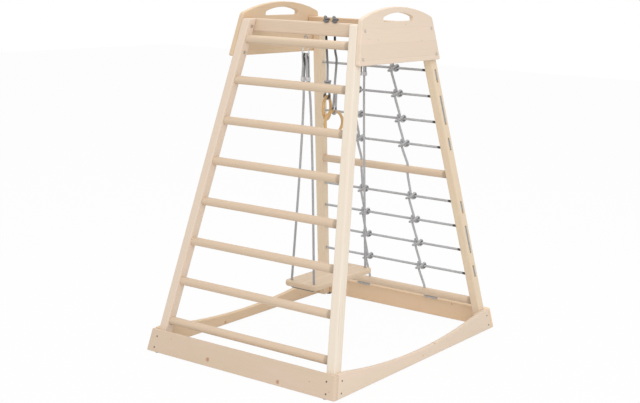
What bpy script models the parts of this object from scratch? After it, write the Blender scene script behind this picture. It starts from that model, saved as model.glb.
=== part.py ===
"""Indoor play tower: an A-frame of four splayed legs with a ladder, a rope net, a swing and two rings.

Units are metres, +Z is up and the floor is z = 0. The origin is the middle of the footprint.
The ladder is at -Y, the net at +Y. Every leg leans inwards, so a face that stands at x or y at
floor level stands at x - LEAN_X * z or y - LEAN_Y * z at height z.
"""
import math

import bmesh
import bpy
import numpy as np
from mathutils import Matrix, Vector

# Fits between neighbours
FIT = 0.0003
ROPE_FIT = 0.0007

# Frame: half widths over the outer faces of the legs at floor level, and the lean of the legs
HALF_X = 0.399
HALF_Y = 0.528
LEAN_X = 0.127
LEAN_Y = 0.25

# Legs
LEG_X = 0.034
LEG_Y = 0.040
LEG_BOTTOM = 0.003
LEG_TOP = 1.191
EDGE_ROUND = 0.004

# Base boards
BOARD_THICKNESS = 0.0185
BOARD_TOP = 0.0854
BOARD_CORNER = 0.009
SIDE_THICKNESS = 0.018
SIDE_BOARD_LOW = 0.0524
SIDE_BOARD_HIGH = 0.092
SIDE_BOARD_SHOULDER = 0.043

# End panels with their hand holes
PANEL_THICKNESS = 0.018
SHOULDER_RISE = 0.020
PANEL_HEIGHT = 0.154
PANEL_RISE = 0.038
PANEL_CORNER = 0.020
HAND_HOLE_HALF = 0.097
HAND_HOLE_DROP = 0.012
HAND_HOLE_SIDE = 0.014
HAND_HOLE_RISE = 0.016
HAND_HOLE_CORNER = 0.007

# Top beams
BEAM_THICKNESS = 0.028
BEAM_HEIGHT = 0.045

# Rungs
RUNG_RADIUS = 0.015
SOCKET_DEPTH = 0.015
RUNG_COUNT = 8
FIRST_RUNG = 0.111
TOP_RUNG_DROP = 0.072

# Foot pads
PAD_RADIUS = 0.012
PAD_INSET = 0.027

# Bolts of the end panels
BOLT_RADIUS = 0.003
BOLT_HEAD_RADIUS = 0.006
BOLT_HEAD_HEIGHT = 0.003
BOLT_NUT_RADIUS = 0.0055
BOLT_NUT_HEIGHT = 0.006
BOLT_RISES = (0.114, 0.021)

# Net ropes
NET_ROPE = 0.009
KNOT_ROPE = 0.008
NET_TOP_DROP = 0.043
NET_ABOVE_RUNG = 0.104
NET_BELOW_RUNG = 0.106
NET_ABOVE_BOTTOM = 0.111
NET_LEVELS = 4
GROOVE_DEPTH = 0.008
GROOVE_WIDTH = 0.0116
ROPE_END_TUCK = 0.042
NET_COLUMN_SHARE = 0.375

# Clove hitches on the net
HITCH_ENTRY = 0.0047
HITCH_HALF_WIDTH = 0.0136
HITCH_CROSSING = 0.0205
HITCH_CROSSING_START = math.radians(421)
HITCH_BULGE = math.radians(114)
HITCH_STEPS = 22
HITCH_HAND = -1
HITCH_GAP = 0.0009
HITCH_LEAD = 0.014

# Stopper knots: a rope end coiled round its own standing part
STOPPER_GAP = 0.0012
STOPPER_TURNS = 1
STOPPER_STEPS = 8
STOPPER_START = math.radians(25)
STOPPER_BEND = ((0.36, -89, 0.16), (0.37, -81, 0.49), (0.85, -7, 0.66))
STOPPER_TAIL = 0.010

# Rope ends: how tightly one turns under a face, in rope diameters, and those of the upright net ropes
END_TURN = 0.69
NET_END = 0.012
NET_TAIL = 0.060

# Screw eyes and carabiners of the swing
WIRE_RADIUS = 0.0025
EYE_RADIUS = 0.009
EYE_DROP = 0.015
EYE_STEM = 0.032
CARABINER_LENGTH = 0.056
CARABINER_TOP_RADIUS = 0.008
CARABINER_LOW_HALF = 0.0135
CARABINER_LOW_RADIUS = 0.0075

# Swing
SWING_ROPE = 0.008
STRAND_X = 0.0065
PAIR_DROP = 0.020
SLEEVE_DROP = 0.0743
SLEEVE_LENGTH = 0.014
SLEEVE_WALL = 0.0012
TAIL_SHOWS = 0.002
SEAT_LENGTH = 0.376
SEAT_WIDTH = 0.146
SEAT_THICKNESS = 0.020
SEAT_TOP = 0.253
SEAT_CORNER = 0.023
SEAT_EDGE = 0.006
SEAT_HOLE_INSET_X = 0.023
SEAT_HOLE_INSET_Y = 0.022

# Rings
RING_ROPE = 0.008
RING_RADIUS = 0.0398
RING_SECTION = 0.0052
RING_HOLE_X = (0.0865, 0.1225)
RING_X = (0.0965, 0.128)
RING_DROP = (0.248, 0.297)
RING_TURN = (math.radians(19), math.radians(-11))
RING_ROPE_BENDS = (((0.004, 0.045), (0.009, 0.096)), ((0.003, 0.048), (0.011, 0.073), (0.008, 0.124)))
NOOSE_HEIGHT = (0.036, 0.068)
NOOSE_TURNS = 2
NOOSE_TAIL = 0.010

# Places that follow from the sizes above
BEAM_BOTTOM = LEG_TOP - BEAM_HEIGHT
BEAM_OUTER = HALF_Y - LEG_Y - FIT
HOOK_Y = BEAM_OUTER - BEAM_THICKNESS / 2 - LEAN_Y * (LEG_TOP - BEAM_HEIGHT / 2)
EYE_HEIGHT = BEAM_BOTTOM - EYE_DROP
SWING_AXIS = EYE_HEIGHT - EYE_RADIUS
CARABINER_TOP = SWING_AXIS + 2 * WIRE_RADIUS + FIT
CARABINER_LOW = CARABINER_TOP - CARABINER_LENGTH
ROPE_PAIR = SWING_ROPE + 2 * ROPE_FIT
LOOP_RADIUS = WIRE_RADIUS + ROPE_FIT + SWING_ROPE / 2
SEAT_HOLE_X = SEAT_WIDTH / 2 - SEAT_HOLE_INSET_X
SEAT_HOLE_Y = SEAT_LENGTH / 2 - SEAT_HOLE_INSET_Y
SLEEVE_TOP = CARABINER_LOW - SLEEVE_DROP
SLEEVE_BOTTOM = SLEEVE_TOP - SLEEVE_LENGTH
RING_HEIGHT = tuple(BEAM_BOTTOM - drop for drop in RING_DROP)
RUNG_PITCH = (LEG_TOP - TOP_RUNG_DROP - FIRST_RUNG) / (RUNG_COUNT - 1)
PANEL_SHOULDER = LEG_TOP + SHOULDER_RISE
PANEL_BOTTOM = PANEL_SHOULDER - PANEL_HEIGHT
NET_TOP_LEVEL = PANEL_BOTTOM - NET_TOP_DROP
NET_SPACE = NET_TOP_LEVEL - NET_ABOVE_RUNG - NET_BELOW_RUNG - NET_ABOVE_BOTTOM - FIRST_RUNG
NET_PITCH = NET_SPACE / (2 * NET_LEVELS - 2)
NET_RUNG = NET_TOP_LEVEL - (NET_LEVELS - 1) * NET_PITCH - NET_ABOVE_RUNG
NET_LOWER_LEVEL = NET_RUNG - NET_BELOW_RUNG
HAND_HOLE_BOTTOM = PANEL_SHOULDER - HAND_HOLE_DROP
BOLT_HEIGHTS = tuple(PANEL_BOTTOM + rise for rise in BOLT_RISES)
RING_AXIS = BEAM_BOTTOM - RING_ROPE / 2 - FIT

ROUND_SIDES = 18
BOLT_SIDES = 9
ROPE_RESOLUTION = 1
WIRE_RESOLUTION = 2


def leg_line(z):
    """Distance of the legs' centre line from the middle of the frame, along Y, at height z."""
    return HALF_Y - LEG_Y / 2 - LEAN_Y * z


def inner_half_width(z):
    """Half the clear width between the legs at height z."""
    return HALF_X - LEG_X - LEAN_X * z


# Scene, materials and objects
for old in list(bpy.data.objects):
    bpy.data.objects.remove(old, do_unlink=True)

tower = bpy.data.collections.new("indoor_play_tower")
cutters = bpy.data.collections.new("cutters")
bpy.context.scene.collection.children.link(tower)
bpy.context.scene.collection.children.link(cutters)


def material(name, colour, roughness, metallic=0.0):
    made = bpy.data.materials.new(name)
    made.use_nodes = True
    shader = made.node_tree.nodes["Principled BSDF"]
    shader.inputs["Base Color"].default_value = (*colour, 1.0)
    shader.inputs["Roughness"].default_value = roughness
    shader.inputs["Metallic"].default_value = metallic
    made.diffuse_color = (*colour, 1.0)
    return made


WOOD = {
    "leg": (0.76, 0.62, 0.47),
    "board": (0.72, 0.56, 0.40),
    "panel": (0.70, 0.53, 0.37),
    "beam": (0.71, 0.55, 0.39),
    "rung": (0.68, 0.54, 0.40),
    "seat": (0.72, 0.57, 0.42),
    "ring": (0.60, 0.36, 0.17),
}
ROPE_GREY = (0.20, 0.20, 0.20)
STEEL = (0.75, 0.75, 0.75)
BLACK = (0.03, 0.03, 0.03)


def finish_for(name, kind):
    if kind in WOOD:
        return material(name + "_finish", WOOD[kind], 0.5)
    if kind == "steel":
        return material(name + "_finish", STEEL, 0.3, 1.0)
    if kind == "rubber":
        return material(name + "_finish", BLACK, 0.8)
    return material(name + "_finish", ROPE_GREY, 0.9)


def add_object(name, data, kind=None, parent=None, collection=tower):
    made = bpy.data.objects.new(name, data)
    collection.objects.link(made)
    if kind:
        data.materials.append(finish_for(name, kind))
    if parent:
        made.parent = parent
        made.matrix_parent_inverse = parent.matrix_world.inverted()
    return made


def mesh_from(name, shape, smooth=False):
    data = bpy.data.meshes.new(name)
    shape.to_mesh(data)
    shape.free()
    if smooth:
        data.shade_smooth()
        data.set_sharp_from_angle(angle=math.radians(35))
    return data


def axis_empty(name, place):
    made = bpy.data.objects.new(name, None)
    made.location = place
    tower.objects.link(made)
    bpy.context.view_layer.update()
    return made


def lean(shape, in_x=True, in_y=True):
    """Tilt a shape that is drawn upright, as the frame's sides tilt."""
    for vert in shape.verts:
        x, y, z = vert.co
        if in_x:
            vert.co.x = x - math.copysign(LEAN_X * z, x)
        if in_y:
            vert.co.y = y - math.copysign(LEAN_Y * z, y)


def add_box(shape, low, high):
    size = [b - a for a, b in zip(low, high)]
    middle = [(a + b) / 2 for a, b in zip(low, high)]
    placed = Matrix.Translation(middle) @ Matrix.Diagonal((*size, 1.0))
    return bmesh.ops.create_cube(shape, size=1.0, matrix=placed)


def add_cylinder(shape, radius, start, end, sides=ROUND_SIDES):
    start, end = Vector(start), Vector(end)
    along = end - start
    placed = Matrix.Translation((start + end) / 2) @ along.to_track_quat("Z", "Y").to_matrix().to_4x4()
    bmesh.ops.create_cone(
        shape, cap_ends=True, segments=sides, radius1=radius, radius2=radius, depth=along.length, matrix=placed
    )


def bevel(target, width=EDGE_ROUND, segments=2):
    rounding = target.modifiers.new("edges", "BEVEL")
    rounding.width = width
    rounding.segments = segments
    rounding.limit_method = "ANGLE"
    rounding.angle_limit = math.radians(40)


def cut(target, shape):
    """Cut the closed bodies of a bmesh out of a piece."""
    tool = add_object(target.name + "_cutter", mesh_from(target.name + "_cutter", shape), collection=cutters)
    tool.display_type = "WIRE"
    tool.hide_render = True
    hole = target.modifiers.new("holes", "BOOLEAN")
    hole.object = tool
    hole.solver = "EXACT"


def tube(name, points, radius, kind, parent=None, resolution=ROPE_RESOLUTION, cyclic=False, taper=None):
    data = bpy.data.curves.new(name, "CURVE")
    data.dimensions = "3D"
    data.bevel_depth = radius
    data.bevel_resolution = resolution
    data.use_fill_caps = not cyclic
    spline = data.splines.new("POLY")
    spline.points.add(len(points) - 1)
    for index, point in enumerate(points):
        spline.points[index].co = (*point, 1.0)
        if taper and index in taper:
            spline.points[index].radius = taper[index]
    spline.use_cyclic_u = cyclic
    return add_object(name, data, kind, parent)


def plate(outlines, thickness, fillet, placed, resolution=1):
    """A bmesh of a flat board: closed outlines in its own XY plane, thickness along its Z."""
    data = bpy.data.curves.new("outline", "CURVE")
    data.dimensions = "2D"
    data.fill_mode = "BOTH"
    data.extrude = thickness / 2 - fillet
    data.bevel_depth = fillet
    data.bevel_resolution = resolution
    data.offset = -fillet
    for outline in outlines:
        spline = data.splines.new("POLY")
        spline.points.add(len(outline) - 1)
        for index, (x, y) in enumerate(outline):
            spline.points[index].co = (x, y, 0.0, 1.0)
        spline.use_cyclic_u = True
    drawn = bpy.data.objects.new("outline", data)
    tower.objects.link(drawn)
    evaluated = drawn.evaluated_get(bpy.context.evaluated_depsgraph_get())
    flat = bpy.data.meshes.new_from_object(evaluated)
    shape = bmesh.new()
    shape.from_mesh(flat)
    bmesh.ops.remove_doubles(shape, verts=shape.verts, dist=0.00001)
    shape.transform(placed)
    bpy.data.objects.remove(drawn)
    bpy.data.meshes.remove(flat)
    return shape


def turned(name, profile, placed, kind, sides=BOLT_SIDES):
    """A piece turned round its own Z axis from (radius, height) points, listed top to bottom."""
    data = bpy.data.meshes.new(name)
    links = [(i, i + 1) for i in range(len(profile) - 1)]
    data.from_pydata([(radius, 0.0, height) for radius, height in profile], links, [])
    made = add_object(name, data, kind)
    made.matrix_world = placed
    screw = made.modifiers.new("turning", "SCREW")
    screw.steps = sides
    screw.render_steps = sides
    screw.use_merge_vertices = True
    screw.merge_threshold = 0.00001
    return made


def rounded(corners, steps=4):
    """A closed outline whose (x, y, radius) corners are rounded."""
    outline = []
    count = len(corners)
    for index, (x, y, radius) in enumerate(corners):
        here = Vector((x, y))
        if radius == 0:
            outline.append((x, y))
            continue
        before = (Vector(corners[index - 1][:2]) - here).normalized()
        after = (Vector(corners[(index + 1) % count][:2]) - here).normalized()
        half = before.angle(after) / 2
        middle = here + (before + after).normalized() * (radius / math.sin(half))
        first = here + before * (radius / math.tan(half)) - middle
        last = here + after * (radius / math.tan(half)) - middle
        sweep = first.angle_signed(last)
        for step in range(steps + 1):
            turn = Matrix.Rotation(-sweep * step / steps, 2)
            outline.append(tuple(middle + turn @ first))
    return outline


def arc_over(half, base, rise, steps):
    """Points of an arc above a chord, from +half to -half; a negative rise sags below it."""
    radius = (half * half + rise * rise) / (2 * abs(rise))
    points = []
    for step in range(1, steps):
        across = half - 2 * half * step / steps
        height = abs(rise) - radius + math.sqrt(radius * radius - across * across)
        points.append((across, base + math.copysign(height, rise), 0))
    return points


UPRIGHT_ALONG_X = Matrix(((0, 0, 1, 0), (1, 0, 0, 0), (0, 1, 0, 0), (0, 0, 0, 1)))


# Legs with their sockets, rope holes, rope grooves and bolt holes
def net_levels(top):
    return [top - NET_PITCH * step for step in range(NET_LEVELS)]


UPPER_LEVELS = net_levels(NET_TOP_LEVEL)
LOWER_LEVELS = net_levels(NET_LOWER_LEVEL)
LEFT, RIGHT, FRONT, REAR = -1, 1, -1, 1


def bolt_seat(side, end, height):
    """Where a bolt's head meets the end panel, and the direction square to that face."""
    face = HALF_X + FIT + PANEL_THICKNESS - LEAN_X * height
    return Vector((side * face, end * leg_line(height), height)), Vector((side, 0, LEAN_X)).normalized()


def add_bolt_holes(shape, side, end):
    """Holes for the bolts, through the end panel and the leg."""
    reach = (LEG_X + PANEL_THICKNESS) * 1.5
    for height in BOLT_HEIGHTS:
        middle, outward = bolt_seat(side, end, height)
        add_cylinder(shape, BOLT_RADIUS + FIT, middle - outward * reach, middle + outward * reach, 12)


def add_groove(shape, low, high):
    """An upright groove in the outer face of a rear leg, on its centre line."""
    half = GROOVE_WIDTH / 2
    middle = HALF_Y - LEG_Y / 2
    groove = bmesh.new()
    add_box(groove, (HALF_X - GROOVE_DEPTH, middle - half, low), (HALF_X + GROOVE_DEPTH, middle + half, high))
    lean(groove)
    groove.to_mesh(scratch)
    groove.free()
    shape.from_mesh(scratch)


scratch = bpy.data.meshes.new("scratch")


def leg_name(side, end):
    return "leg_" + ("front_" if end == FRONT else "rear_") + ("left" if side == LEFT else "right")


def make_leg(side, end):
    shape = bmesh.new()
    add_box(shape, (HALF_X - LEG_X, HALF_Y - LEG_Y, LEG_BOTTOM), (HALF_X, HALF_Y, LEG_TOP))
    lean(shape)
    shape.transform(Matrix.Diagonal((side, end, 1, 1)))
    if side * end < 0:
        bmesh.ops.reverse_faces(shape, faces=shape.faces)
    leg = add_object(leg_name(side, end), mesh_from(leg_name(side, end), shape), "leg")
    bevel(leg)
    holes = bmesh.new()
    heights = [FIRST_RUNG + RUNG_PITCH * i for i in range(RUNG_COUNT)] if end == FRONT else [FIRST_RUNG, NET_RUNG]
    for height in heights:
        deep = inner_half_width(height) + SOCKET_DEPTH + FIT
        y = end * leg_line(height)
        add_cylinder(holes, RUNG_RADIUS + FIT, (side * (deep - 2 * LEG_X), y, height), (side * deep, y, height))
    add_bolt_holes(holes, side, end)
    if end == REAR:
        for levels in (UPPER_LEVELS, LOWER_LEVELS):
            for height in levels:
                x = HALF_X - LEAN_X * height
                y = leg_line(height)
                start = (side * (x - 2 * LEG_X), y, height)
                add_cylinder(holes, NET_ROPE / 2 + ROPE_FIT, start, (side * (x + LEG_X), y, height), 12)
    cut(leg, holes)
    if end == REAR:
        grooves = bmesh.new()
        half = GROOVE_WIDTH / 2
        for levels in (UPPER_LEVELS, LOWER_LEVELS):
            if side == LEFT:
                add_groove(grooves, levels[1] - half, levels[0] + half)
                add_groove(grooves, levels[3] - half, levels[2] + half)
            else:
                add_groove(grooves, levels[0] - ROPE_END_TUCK, levels[0] + half)
                add_groove(grooves, levels[2] - half, levels[1] + half)
                add_groove(grooves, levels[3] - half, levels[3] + ROPE_END_TUCK)
        if side == LEFT:
            grooves.transform(Matrix.Diagonal((-1, 1, 1, 1)))
            bmesh.ops.reverse_faces(grooves, faces=grooves.faces)
        tool = mesh_from(leg.name + "_groove", grooves)
        groove_tool = add_object(leg.name + "_groove_cutter", tool, collection=cutters)
        groove_tool.display_type = "WIRE"
        groove_tool.hide_render = True
        groove_cut = leg.modifiers.new("grooves", "BOOLEAN")
        groove_cut.object = groove_tool
        groove_cut.solver = "EXACT"


for end in (FRONT, REAR):
    for side in (LEFT, RIGHT):
        make_leg(side, end)


# Base boards
def round_corners(shape, radius, chosen):
    edges = [edge for edge in shape.edges if chosen(edge)]
    bmesh.ops.bevel(shape, geom=edges, offset=radius, segments=3, profile=0.5, affect="EDGES")


def make_end_board(name, end):
    """The straight board across the outside of two legs; its ends cover those of the side boards."""
    reach = HALF_X + FIT + SIDE_THICKNESS
    inner = HALF_Y + FIT
    outer = inner + BOARD_THICKNESS
    shape = bmesh.new()
    add_box(shape, (-reach, inner, LEG_BOTTOM), (reach, outer, BOARD_TOP))

    def outer_upright(edge):
        first, last = edge.verts
        return abs(first.co.z - last.co.z) > BOARD_THICKNESS and first.co.y > outer - FIT

    round_corners(shape, BOARD_CORNER, outer_upright)
    lean(shape)
    if end == FRONT:
        shape.transform(Matrix.Diagonal((1, -1, 1, 1)))
        bmesh.ops.reverse_faces(shape, faces=shape.faces)
    board = add_object(name, mesh_from(name, shape), "board")
    bevel(board, EDGE_ROUND * 0.75)


make_end_board("base_board_front", FRONT)
make_end_board("base_board_rear", REAR)


def half_depth(z):
    """Half the depth over the outer faces of the legs at height z."""
    return HALF_Y - LEAN_Y * z


def side_plate(name, outlines, thickness, side, kind):
    """A board on the outer side faces of two legs."""
    middle = HALF_X + FIT + thickness / 2
    shape = plate(outlines, thickness, EDGE_ROUND * 0.75, Matrix.Translation((middle, 0, 0)) @ UPRIGHT_ALONG_X)
    lean(shape, in_y=False)
    if side == LEFT:
        shape.transform(Matrix.Diagonal((-1, 1, 1, 1)))
        bmesh.ops.reverse_faces(shape, faces=shape.faces)
    return add_object(name, mesh_from(name, shape), kind)


def make_side_board(name, side):
    low, high = half_depth(LEG_BOTTOM), half_depth(SIDE_BOARD_HIGH)
    scoop = high - SIDE_BOARD_SHOULDER
    top = arc_over(scoop, SIDE_BOARD_HIGH, SIDE_BOARD_LOW - SIDE_BOARD_HIGH, 16)
    outline = [(-low, LEG_BOTTOM, 0), (low, LEG_BOTTOM, 0), (high, SIDE_BOARD_HIGH, 0)]
    outline += [(scoop, SIDE_BOARD_HIGH, 0), *top, (-scoop, SIDE_BOARD_HIGH, 0), (-high, SIDE_BOARD_HIGH, 0)]
    side_plate(name, [rounded(outline)], SIDE_THICKNESS, side, "board")


make_side_board("base_board_left", LEFT)
make_side_board("base_board_right", RIGHT)


# End panels
def make_end_panel(name, side):
    low, high = half_depth(PANEL_BOTTOM), half_depth(PANEL_SHOULDER)
    outline = [(-low, PANEL_BOTTOM, PANEL_CORNER / 3), (low, PANEL_BOTTOM, PANEL_CORNER / 3)]
    outline += [(high, PANEL_SHOULDER, PANEL_CORNER), *arc_over(high, PANEL_SHOULDER, PANEL_RISE, 8)]
    outline += [(-high, PANEL_SHOULDER, PANEL_CORNER)]
    upper = HAND_HOLE_BOTTOM + HAND_HOLE_SIDE
    hole = [(-HAND_HOLE_HALF, HAND_HOLE_BOTTOM, HAND_HOLE_CORNER), (HAND_HOLE_HALF, HAND_HOLE_BOTTOM, HAND_HOLE_CORNER)]
    hole += [(HAND_HOLE_HALF, upper, HAND_HOLE_CORNER), *arc_over(HAND_HOLE_HALF, upper, HAND_HOLE_RISE, 8)]
    hole += [(-HAND_HOLE_HALF, upper, HAND_HOLE_CORNER)]
    panel = side_plate(name, [rounded(outline), rounded(hole)], PANEL_THICKNESS, side, "panel")
    holes = bmesh.new()
    for end in (FRONT, REAR):
        add_bolt_holes(holes, side, end)
    cut(panel, holes)


make_end_panel("end_panel_left", LEFT)
make_end_panel("end_panel_right", RIGHT)


# Panel bolts: dome head outside the panel, cap nut inside the leg
def make_bolt(name, side, end, height):
    centre, outward = bolt_seat(side, end, height)
    square = math.cos(math.atan(LEAN_X))
    grip = (LEG_X + FIT + PANEL_THICKNESS) * square + FIT
    profile = [
        (0.0, BOLT_HEAD_HEIGHT),
        (BOLT_HEAD_RADIUS * 0.6, BOLT_HEAD_HEIGHT * 0.8),
        (BOLT_HEAD_RADIUS, FIT + BOLT_HEAD_HEIGHT * 0.2),
        (BOLT_HEAD_RADIUS, FIT),
        (BOLT_RADIUS, FIT),
        (BOLT_RADIUS, -grip),
        (BOLT_NUT_RADIUS, -grip),
        (BOLT_NUT_RADIUS, -grip - BOLT_NUT_HEIGHT * 0.7),
        (0.0, -grip - BOLT_NUT_HEIGHT),
    ]
    placed = Matrix.Translation(centre) @ outward.to_track_quat("Z", "Y").to_matrix().to_4x4()
    turned(name, profile, placed, "steel")


for end, end_name in ((FRONT, "front"), (REAR, "rear")):
    for side, side_name in ((LEFT, "left"), (RIGHT, "right")):
        for height, level_name in zip(BOLT_HEIGHTS, ("upper", "lower")):
            make_bolt(f"panel_bolt_{end_name}_{side_name}_{level_name}", side, end, height)


# Top beams with their holes
def column_x(z):
    """How far from the middle an upright net rope runs at height z."""
    return NET_COLUMN_SHARE * inner_half_width(z)


def make_beam(name, end, rope_places=()):
    reach = HALF_X - FIT
    shape = bmesh.new()
    add_box(shape, (-reach, BEAM_OUTER - BEAM_THICKNESS, BEAM_BOTTOM), (reach, BEAM_OUTER, LEG_TOP))
    lean(shape)
    if end == FRONT:
        shape.transform(Matrix.Diagonal((1, -1, 1, 1)))
        bmesh.ops.reverse_faces(shape, faces=shape.faces)
    beam = add_object(name, mesh_from(name, shape), "beam")
    bevel(beam)
    holes = bmesh.new()
    for x in rope_places:
        low, high = BEAM_BOTTOM - BEAM_HEIGHT, LEG_TOP + BEAM_HEIGHT
        add_cylinder(holes, RING_ROPE / 2 + ROPE_FIT, (x, end * HOOK_Y, low), (x, end * HOOK_Y, high), 12)
    top = EYE_HEIGHT + EYE_RADIUS + EYE_STEM + FIT
    start = (0, end * HOOK_Y, BEAM_BOTTOM - BEAM_HEIGHT)
    add_cylinder(holes, WIRE_RADIUS + FIT, start, (0, end * HOOK_Y, top), 12)
    cut(beam, holes)


make_beam("top_beam_front", FRONT, RING_HOLE_X)
make_beam("top_beam_rear", REAR)


# Rungs
def make_rung(name, height, end, drilled=False):
    reach = inner_half_width(height) + SOCKET_DEPTH
    y = end * leg_line(height)
    shape = bmesh.new()
    add_cylinder(shape, RUNG_RADIUS, (-reach, y, height), (reach, y, height))
    rung = add_object(name, mesh_from(name, shape, smooth=True), "rung")
    if drilled:
        holes = bmesh.new()
        for x in (-column_x(height), column_x(height)):
            low, high = height - 2 * RUNG_RADIUS, height + 2 * RUNG_RADIUS
            add_cylinder(holes, KNOT_ROPE / 2 + ROPE_FIT, (x, y, low), (x, y, high), 12)
        cut(rung, holes)


for index in range(RUNG_COUNT):
    make_rung(f"ladder_rung_{index + 1}", FIRST_RUNG + RUNG_PITCH * index, FRONT)
make_rung("net_rung_middle", NET_RUNG, REAR, drilled=True)
make_rung("net_rung_bottom", FIRST_RUNG, REAR, drilled=True)

# Foot pads
for end, end_name in ((FRONT, "front"), (REAR, "rear")):
    for side, side_name in ((LEFT, "left"), (RIGHT, "right")):
        pad = bmesh.new()
        x, y = side * (HALF_X - PAD_INSET), end * HALF_Y
        add_cylinder(pad, PAD_RADIUS, (x, y, 0), (x, y, LEG_BOTTOM - FIT))
        name = f"foot_pad_{end_name}_{side_name}"
        add_object(name, mesh_from(name, pad, smooth=True), "rubber")


# Knots and how close a rope comes to itself
def least_gap(points, diameter):
    """Least clear distance between stretches of a rope that lie over 1.6 diameters apart along it."""
    path = np.array([tuple(point) for point in points])
    along = np.concatenate([[0.0], np.cumsum(np.linalg.norm(np.diff(path, axis=0), axis=1))])
    stations = np.arange(0.0, along[-1], diameter / 8)
    places = np.stack([np.interp(stations, along, path[:, axis]) for axis in range(3)], axis=1)
    apart = np.linalg.norm(places[:, None] - places[None], axis=2)
    near = np.abs(stations[:, None] - stations[None]) < 1.6 * diameter
    apart[near] = 1.0
    return apart.min() - diameter


def report_gap(name, points, diameter):
    print(f"{name}: least gap to itself {1000 * least_gap(points, diameter):.2f} mm")


def ease(share):
    share = min(max(share, 0.0), 1.0)
    return share * share * (3 - 2 * share)


def clove_hitch(centre, hand):
    """A rope that comes down, goes twice round a horizontal rope and crosses over itself in front."""
    near = NET_ROPE / 2 + KNOT_ROPE / 2 + HITCH_GAP
    tilt = Matrix.Rotation(math.atan(LEAN_Y), 3, "X")
    start, middle = math.radians(90), math.radians(450)
    points = []
    for step in range(HITCH_STEPS + 1):
        angle = start + 2 * (middle - start) * step / HITCH_STEPS
        first_half = angle <= middle
        half = angle if first_half else 2 * middle - angle
        across = HITCH_ENTRY + (HITCH_HALF_WIDTH - HITCH_ENTRY) * ease((half - start) / math.radians(160))
        if half > HITCH_CROSSING_START:
            way = (half - HITCH_CROSSING_START) / (middle - HITCH_CROSSING_START)
            across = HITCH_HALF_WIDTH * (1 - 2 * ease(way / 2))
        bulge = ease((half - (middle - HITCH_BULGE)) / HITCH_BULGE)
        radius = near + (HITCH_CROSSING - near) * bulge
        x = -across if first_half else across
        points.append(Vector((hand * x, -radius * math.sin(angle), radius * math.cos(angle))))
    lead = Vector((-hand * HITCH_ENTRY, -near - HITCH_GAP / 2, HITCH_LEAD))
    points.insert(0, lead)
    points.append(Vector((-lead.x, lead.y, -lead.z)))
    return [centre + tilt @ point for point in points]


def stopper(rope):
    """A rope that comes up out of a face and coils back round itself down to that face.

    The points run from the face, at the origin, to the rope's end, which leaves along the last turn.
    """
    coil = rope + STOPPER_GAP
    depth = STOPPER_TURNS * coil + rope / 2 + ROPE_FIT
    points = [Vector((0, 0, 0)), Vector((0, 0, depth - 0.1 * coil))]
    for share, degrees, drop in STOPPER_BEND:
        angle = math.radians(degrees)
        out = share * coil
        points.append(Vector((out * math.cos(angle), out * math.sin(angle), depth + drop * coil)))
    for step in range(STOPPER_TURNS * STOPPER_STEPS + 1):
        angle = STOPPER_START + 2 * math.pi * step / STOPPER_STEPS
        height = depth - coil * step / STOPPER_STEPS
        points.append(Vector((coil * math.cos(angle), coil * math.sin(angle), height)))
    along = Vector((-math.sin(STOPPER_START), math.cos(STOPPER_START), 0))
    points.append(points[-1] + along * STOPPER_TAIL)
    return points


def turned_down(corner, rope, outward, length):
    """A rope that comes down out of a face at a corner point and lies along that face."""
    radius = rope * END_TURN
    drop = rope / 2 + ROPE_FIT
    slant = 1 - math.sqrt(0.5)
    start = Vector((0, 0, radius - drop))
    middle = outward * (radius * slant) + Vector((0, 0, radius * slant - drop))
    return [corner + start, corner + middle, corner + outward * radius - Vector((0, 0, drop)),
            corner + outward * length - Vector((0, 0, drop))]


# Net: two ropes laced to and fro through the rear legs
def lacing(name, levels):
    """From a slot in the right leg, to and fro through both legs, and back into a slot."""
    depth = GROOVE_DEPTH - NET_ROPE / 2 - ROPE_FIT
    bend = NET_ROPE / 2

    def at(x_side, height):
        return Vector((x_side * (HALF_X - LEAN_X * height - depth), leg_line(height), height))

    def corner(x_side, height, towards):
        inward = Vector((-x_side * bend, 0, 0))
        away = at(x_side, height + towards * bend)
        hole = at(x_side, height)
        return [away, hole + inward * 0.3 + Vector((0, 0, towards * bend * 0.3)), hole + inward]

    points = [at(RIGHT, levels[0] - ROPE_END_TUCK + NET_ROPE)]
    side = RIGHT
    for index, height in enumerate(levels):
        arrive = -1 if index == 0 else 1
        points += corner(side, height, arrive)
        side = -side
        leave = 1 if index == len(levels) - 1 else -1
        points += reversed(corner(side, height, leave))
    points.append(at(RIGHT, levels[-1] + ROPE_END_TUCK - NET_ROPE))
    report_gap(name, points, NET_ROPE)
    tube(name, points, NET_ROPE / 2, "rope")


lacing("net_rope_upper", UPPER_LEVELS)
lacing("net_rope_lower", LOWER_LEVELS)


# Net: two upright ropes, hitched to every crossing rope and run through both net rungs
def upright_rope(name, side):
    points = []
    for height in UPPER_LEVELS:
        points += clove_hitch(Vector((side * column_x(height), leg_line(height), height)), HITCH_HAND)
    points.insert(0, points[0] + Vector((0, -LEAN_Y * NET_END, NET_END)))
    middle = Vector((side * column_x(NET_RUNG), leg_line(NET_RUNG), NET_RUNG))
    clear = Vector((0, 0, RUNG_RADIUS + KNOT_ROPE / 2))
    points += [middle + clear, middle - clear]
    for height in LOWER_LEVELS:
        points += clove_hitch(Vector((side * column_x(height), leg_line(height), height)), HITCH_HAND)
    low = Vector((side * column_x(FIRST_RUNG), leg_line(FIRST_RUNG), FIRST_RUNG))
    points.append(low + clear)
    under = low - Vector((0, 0, RUNG_RADIUS))
    points += turned_down(under, KNOT_ROPE, Vector((side, 0, 0)), NET_TAIL)
    report_gap(name, points, KNOT_ROPE)
    tube(name, points, KNOT_ROPE / 2, "rope")


upright_rope("net_rope_column_left", LEFT)
upright_rope("net_rope_column_right", RIGHT)

# Swing: screw eyes in the beams, carabiners, sleeved ropes and the seat
swing_axis = axis_empty("swing_axis", (0, 0, SWING_AXIS))


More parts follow.
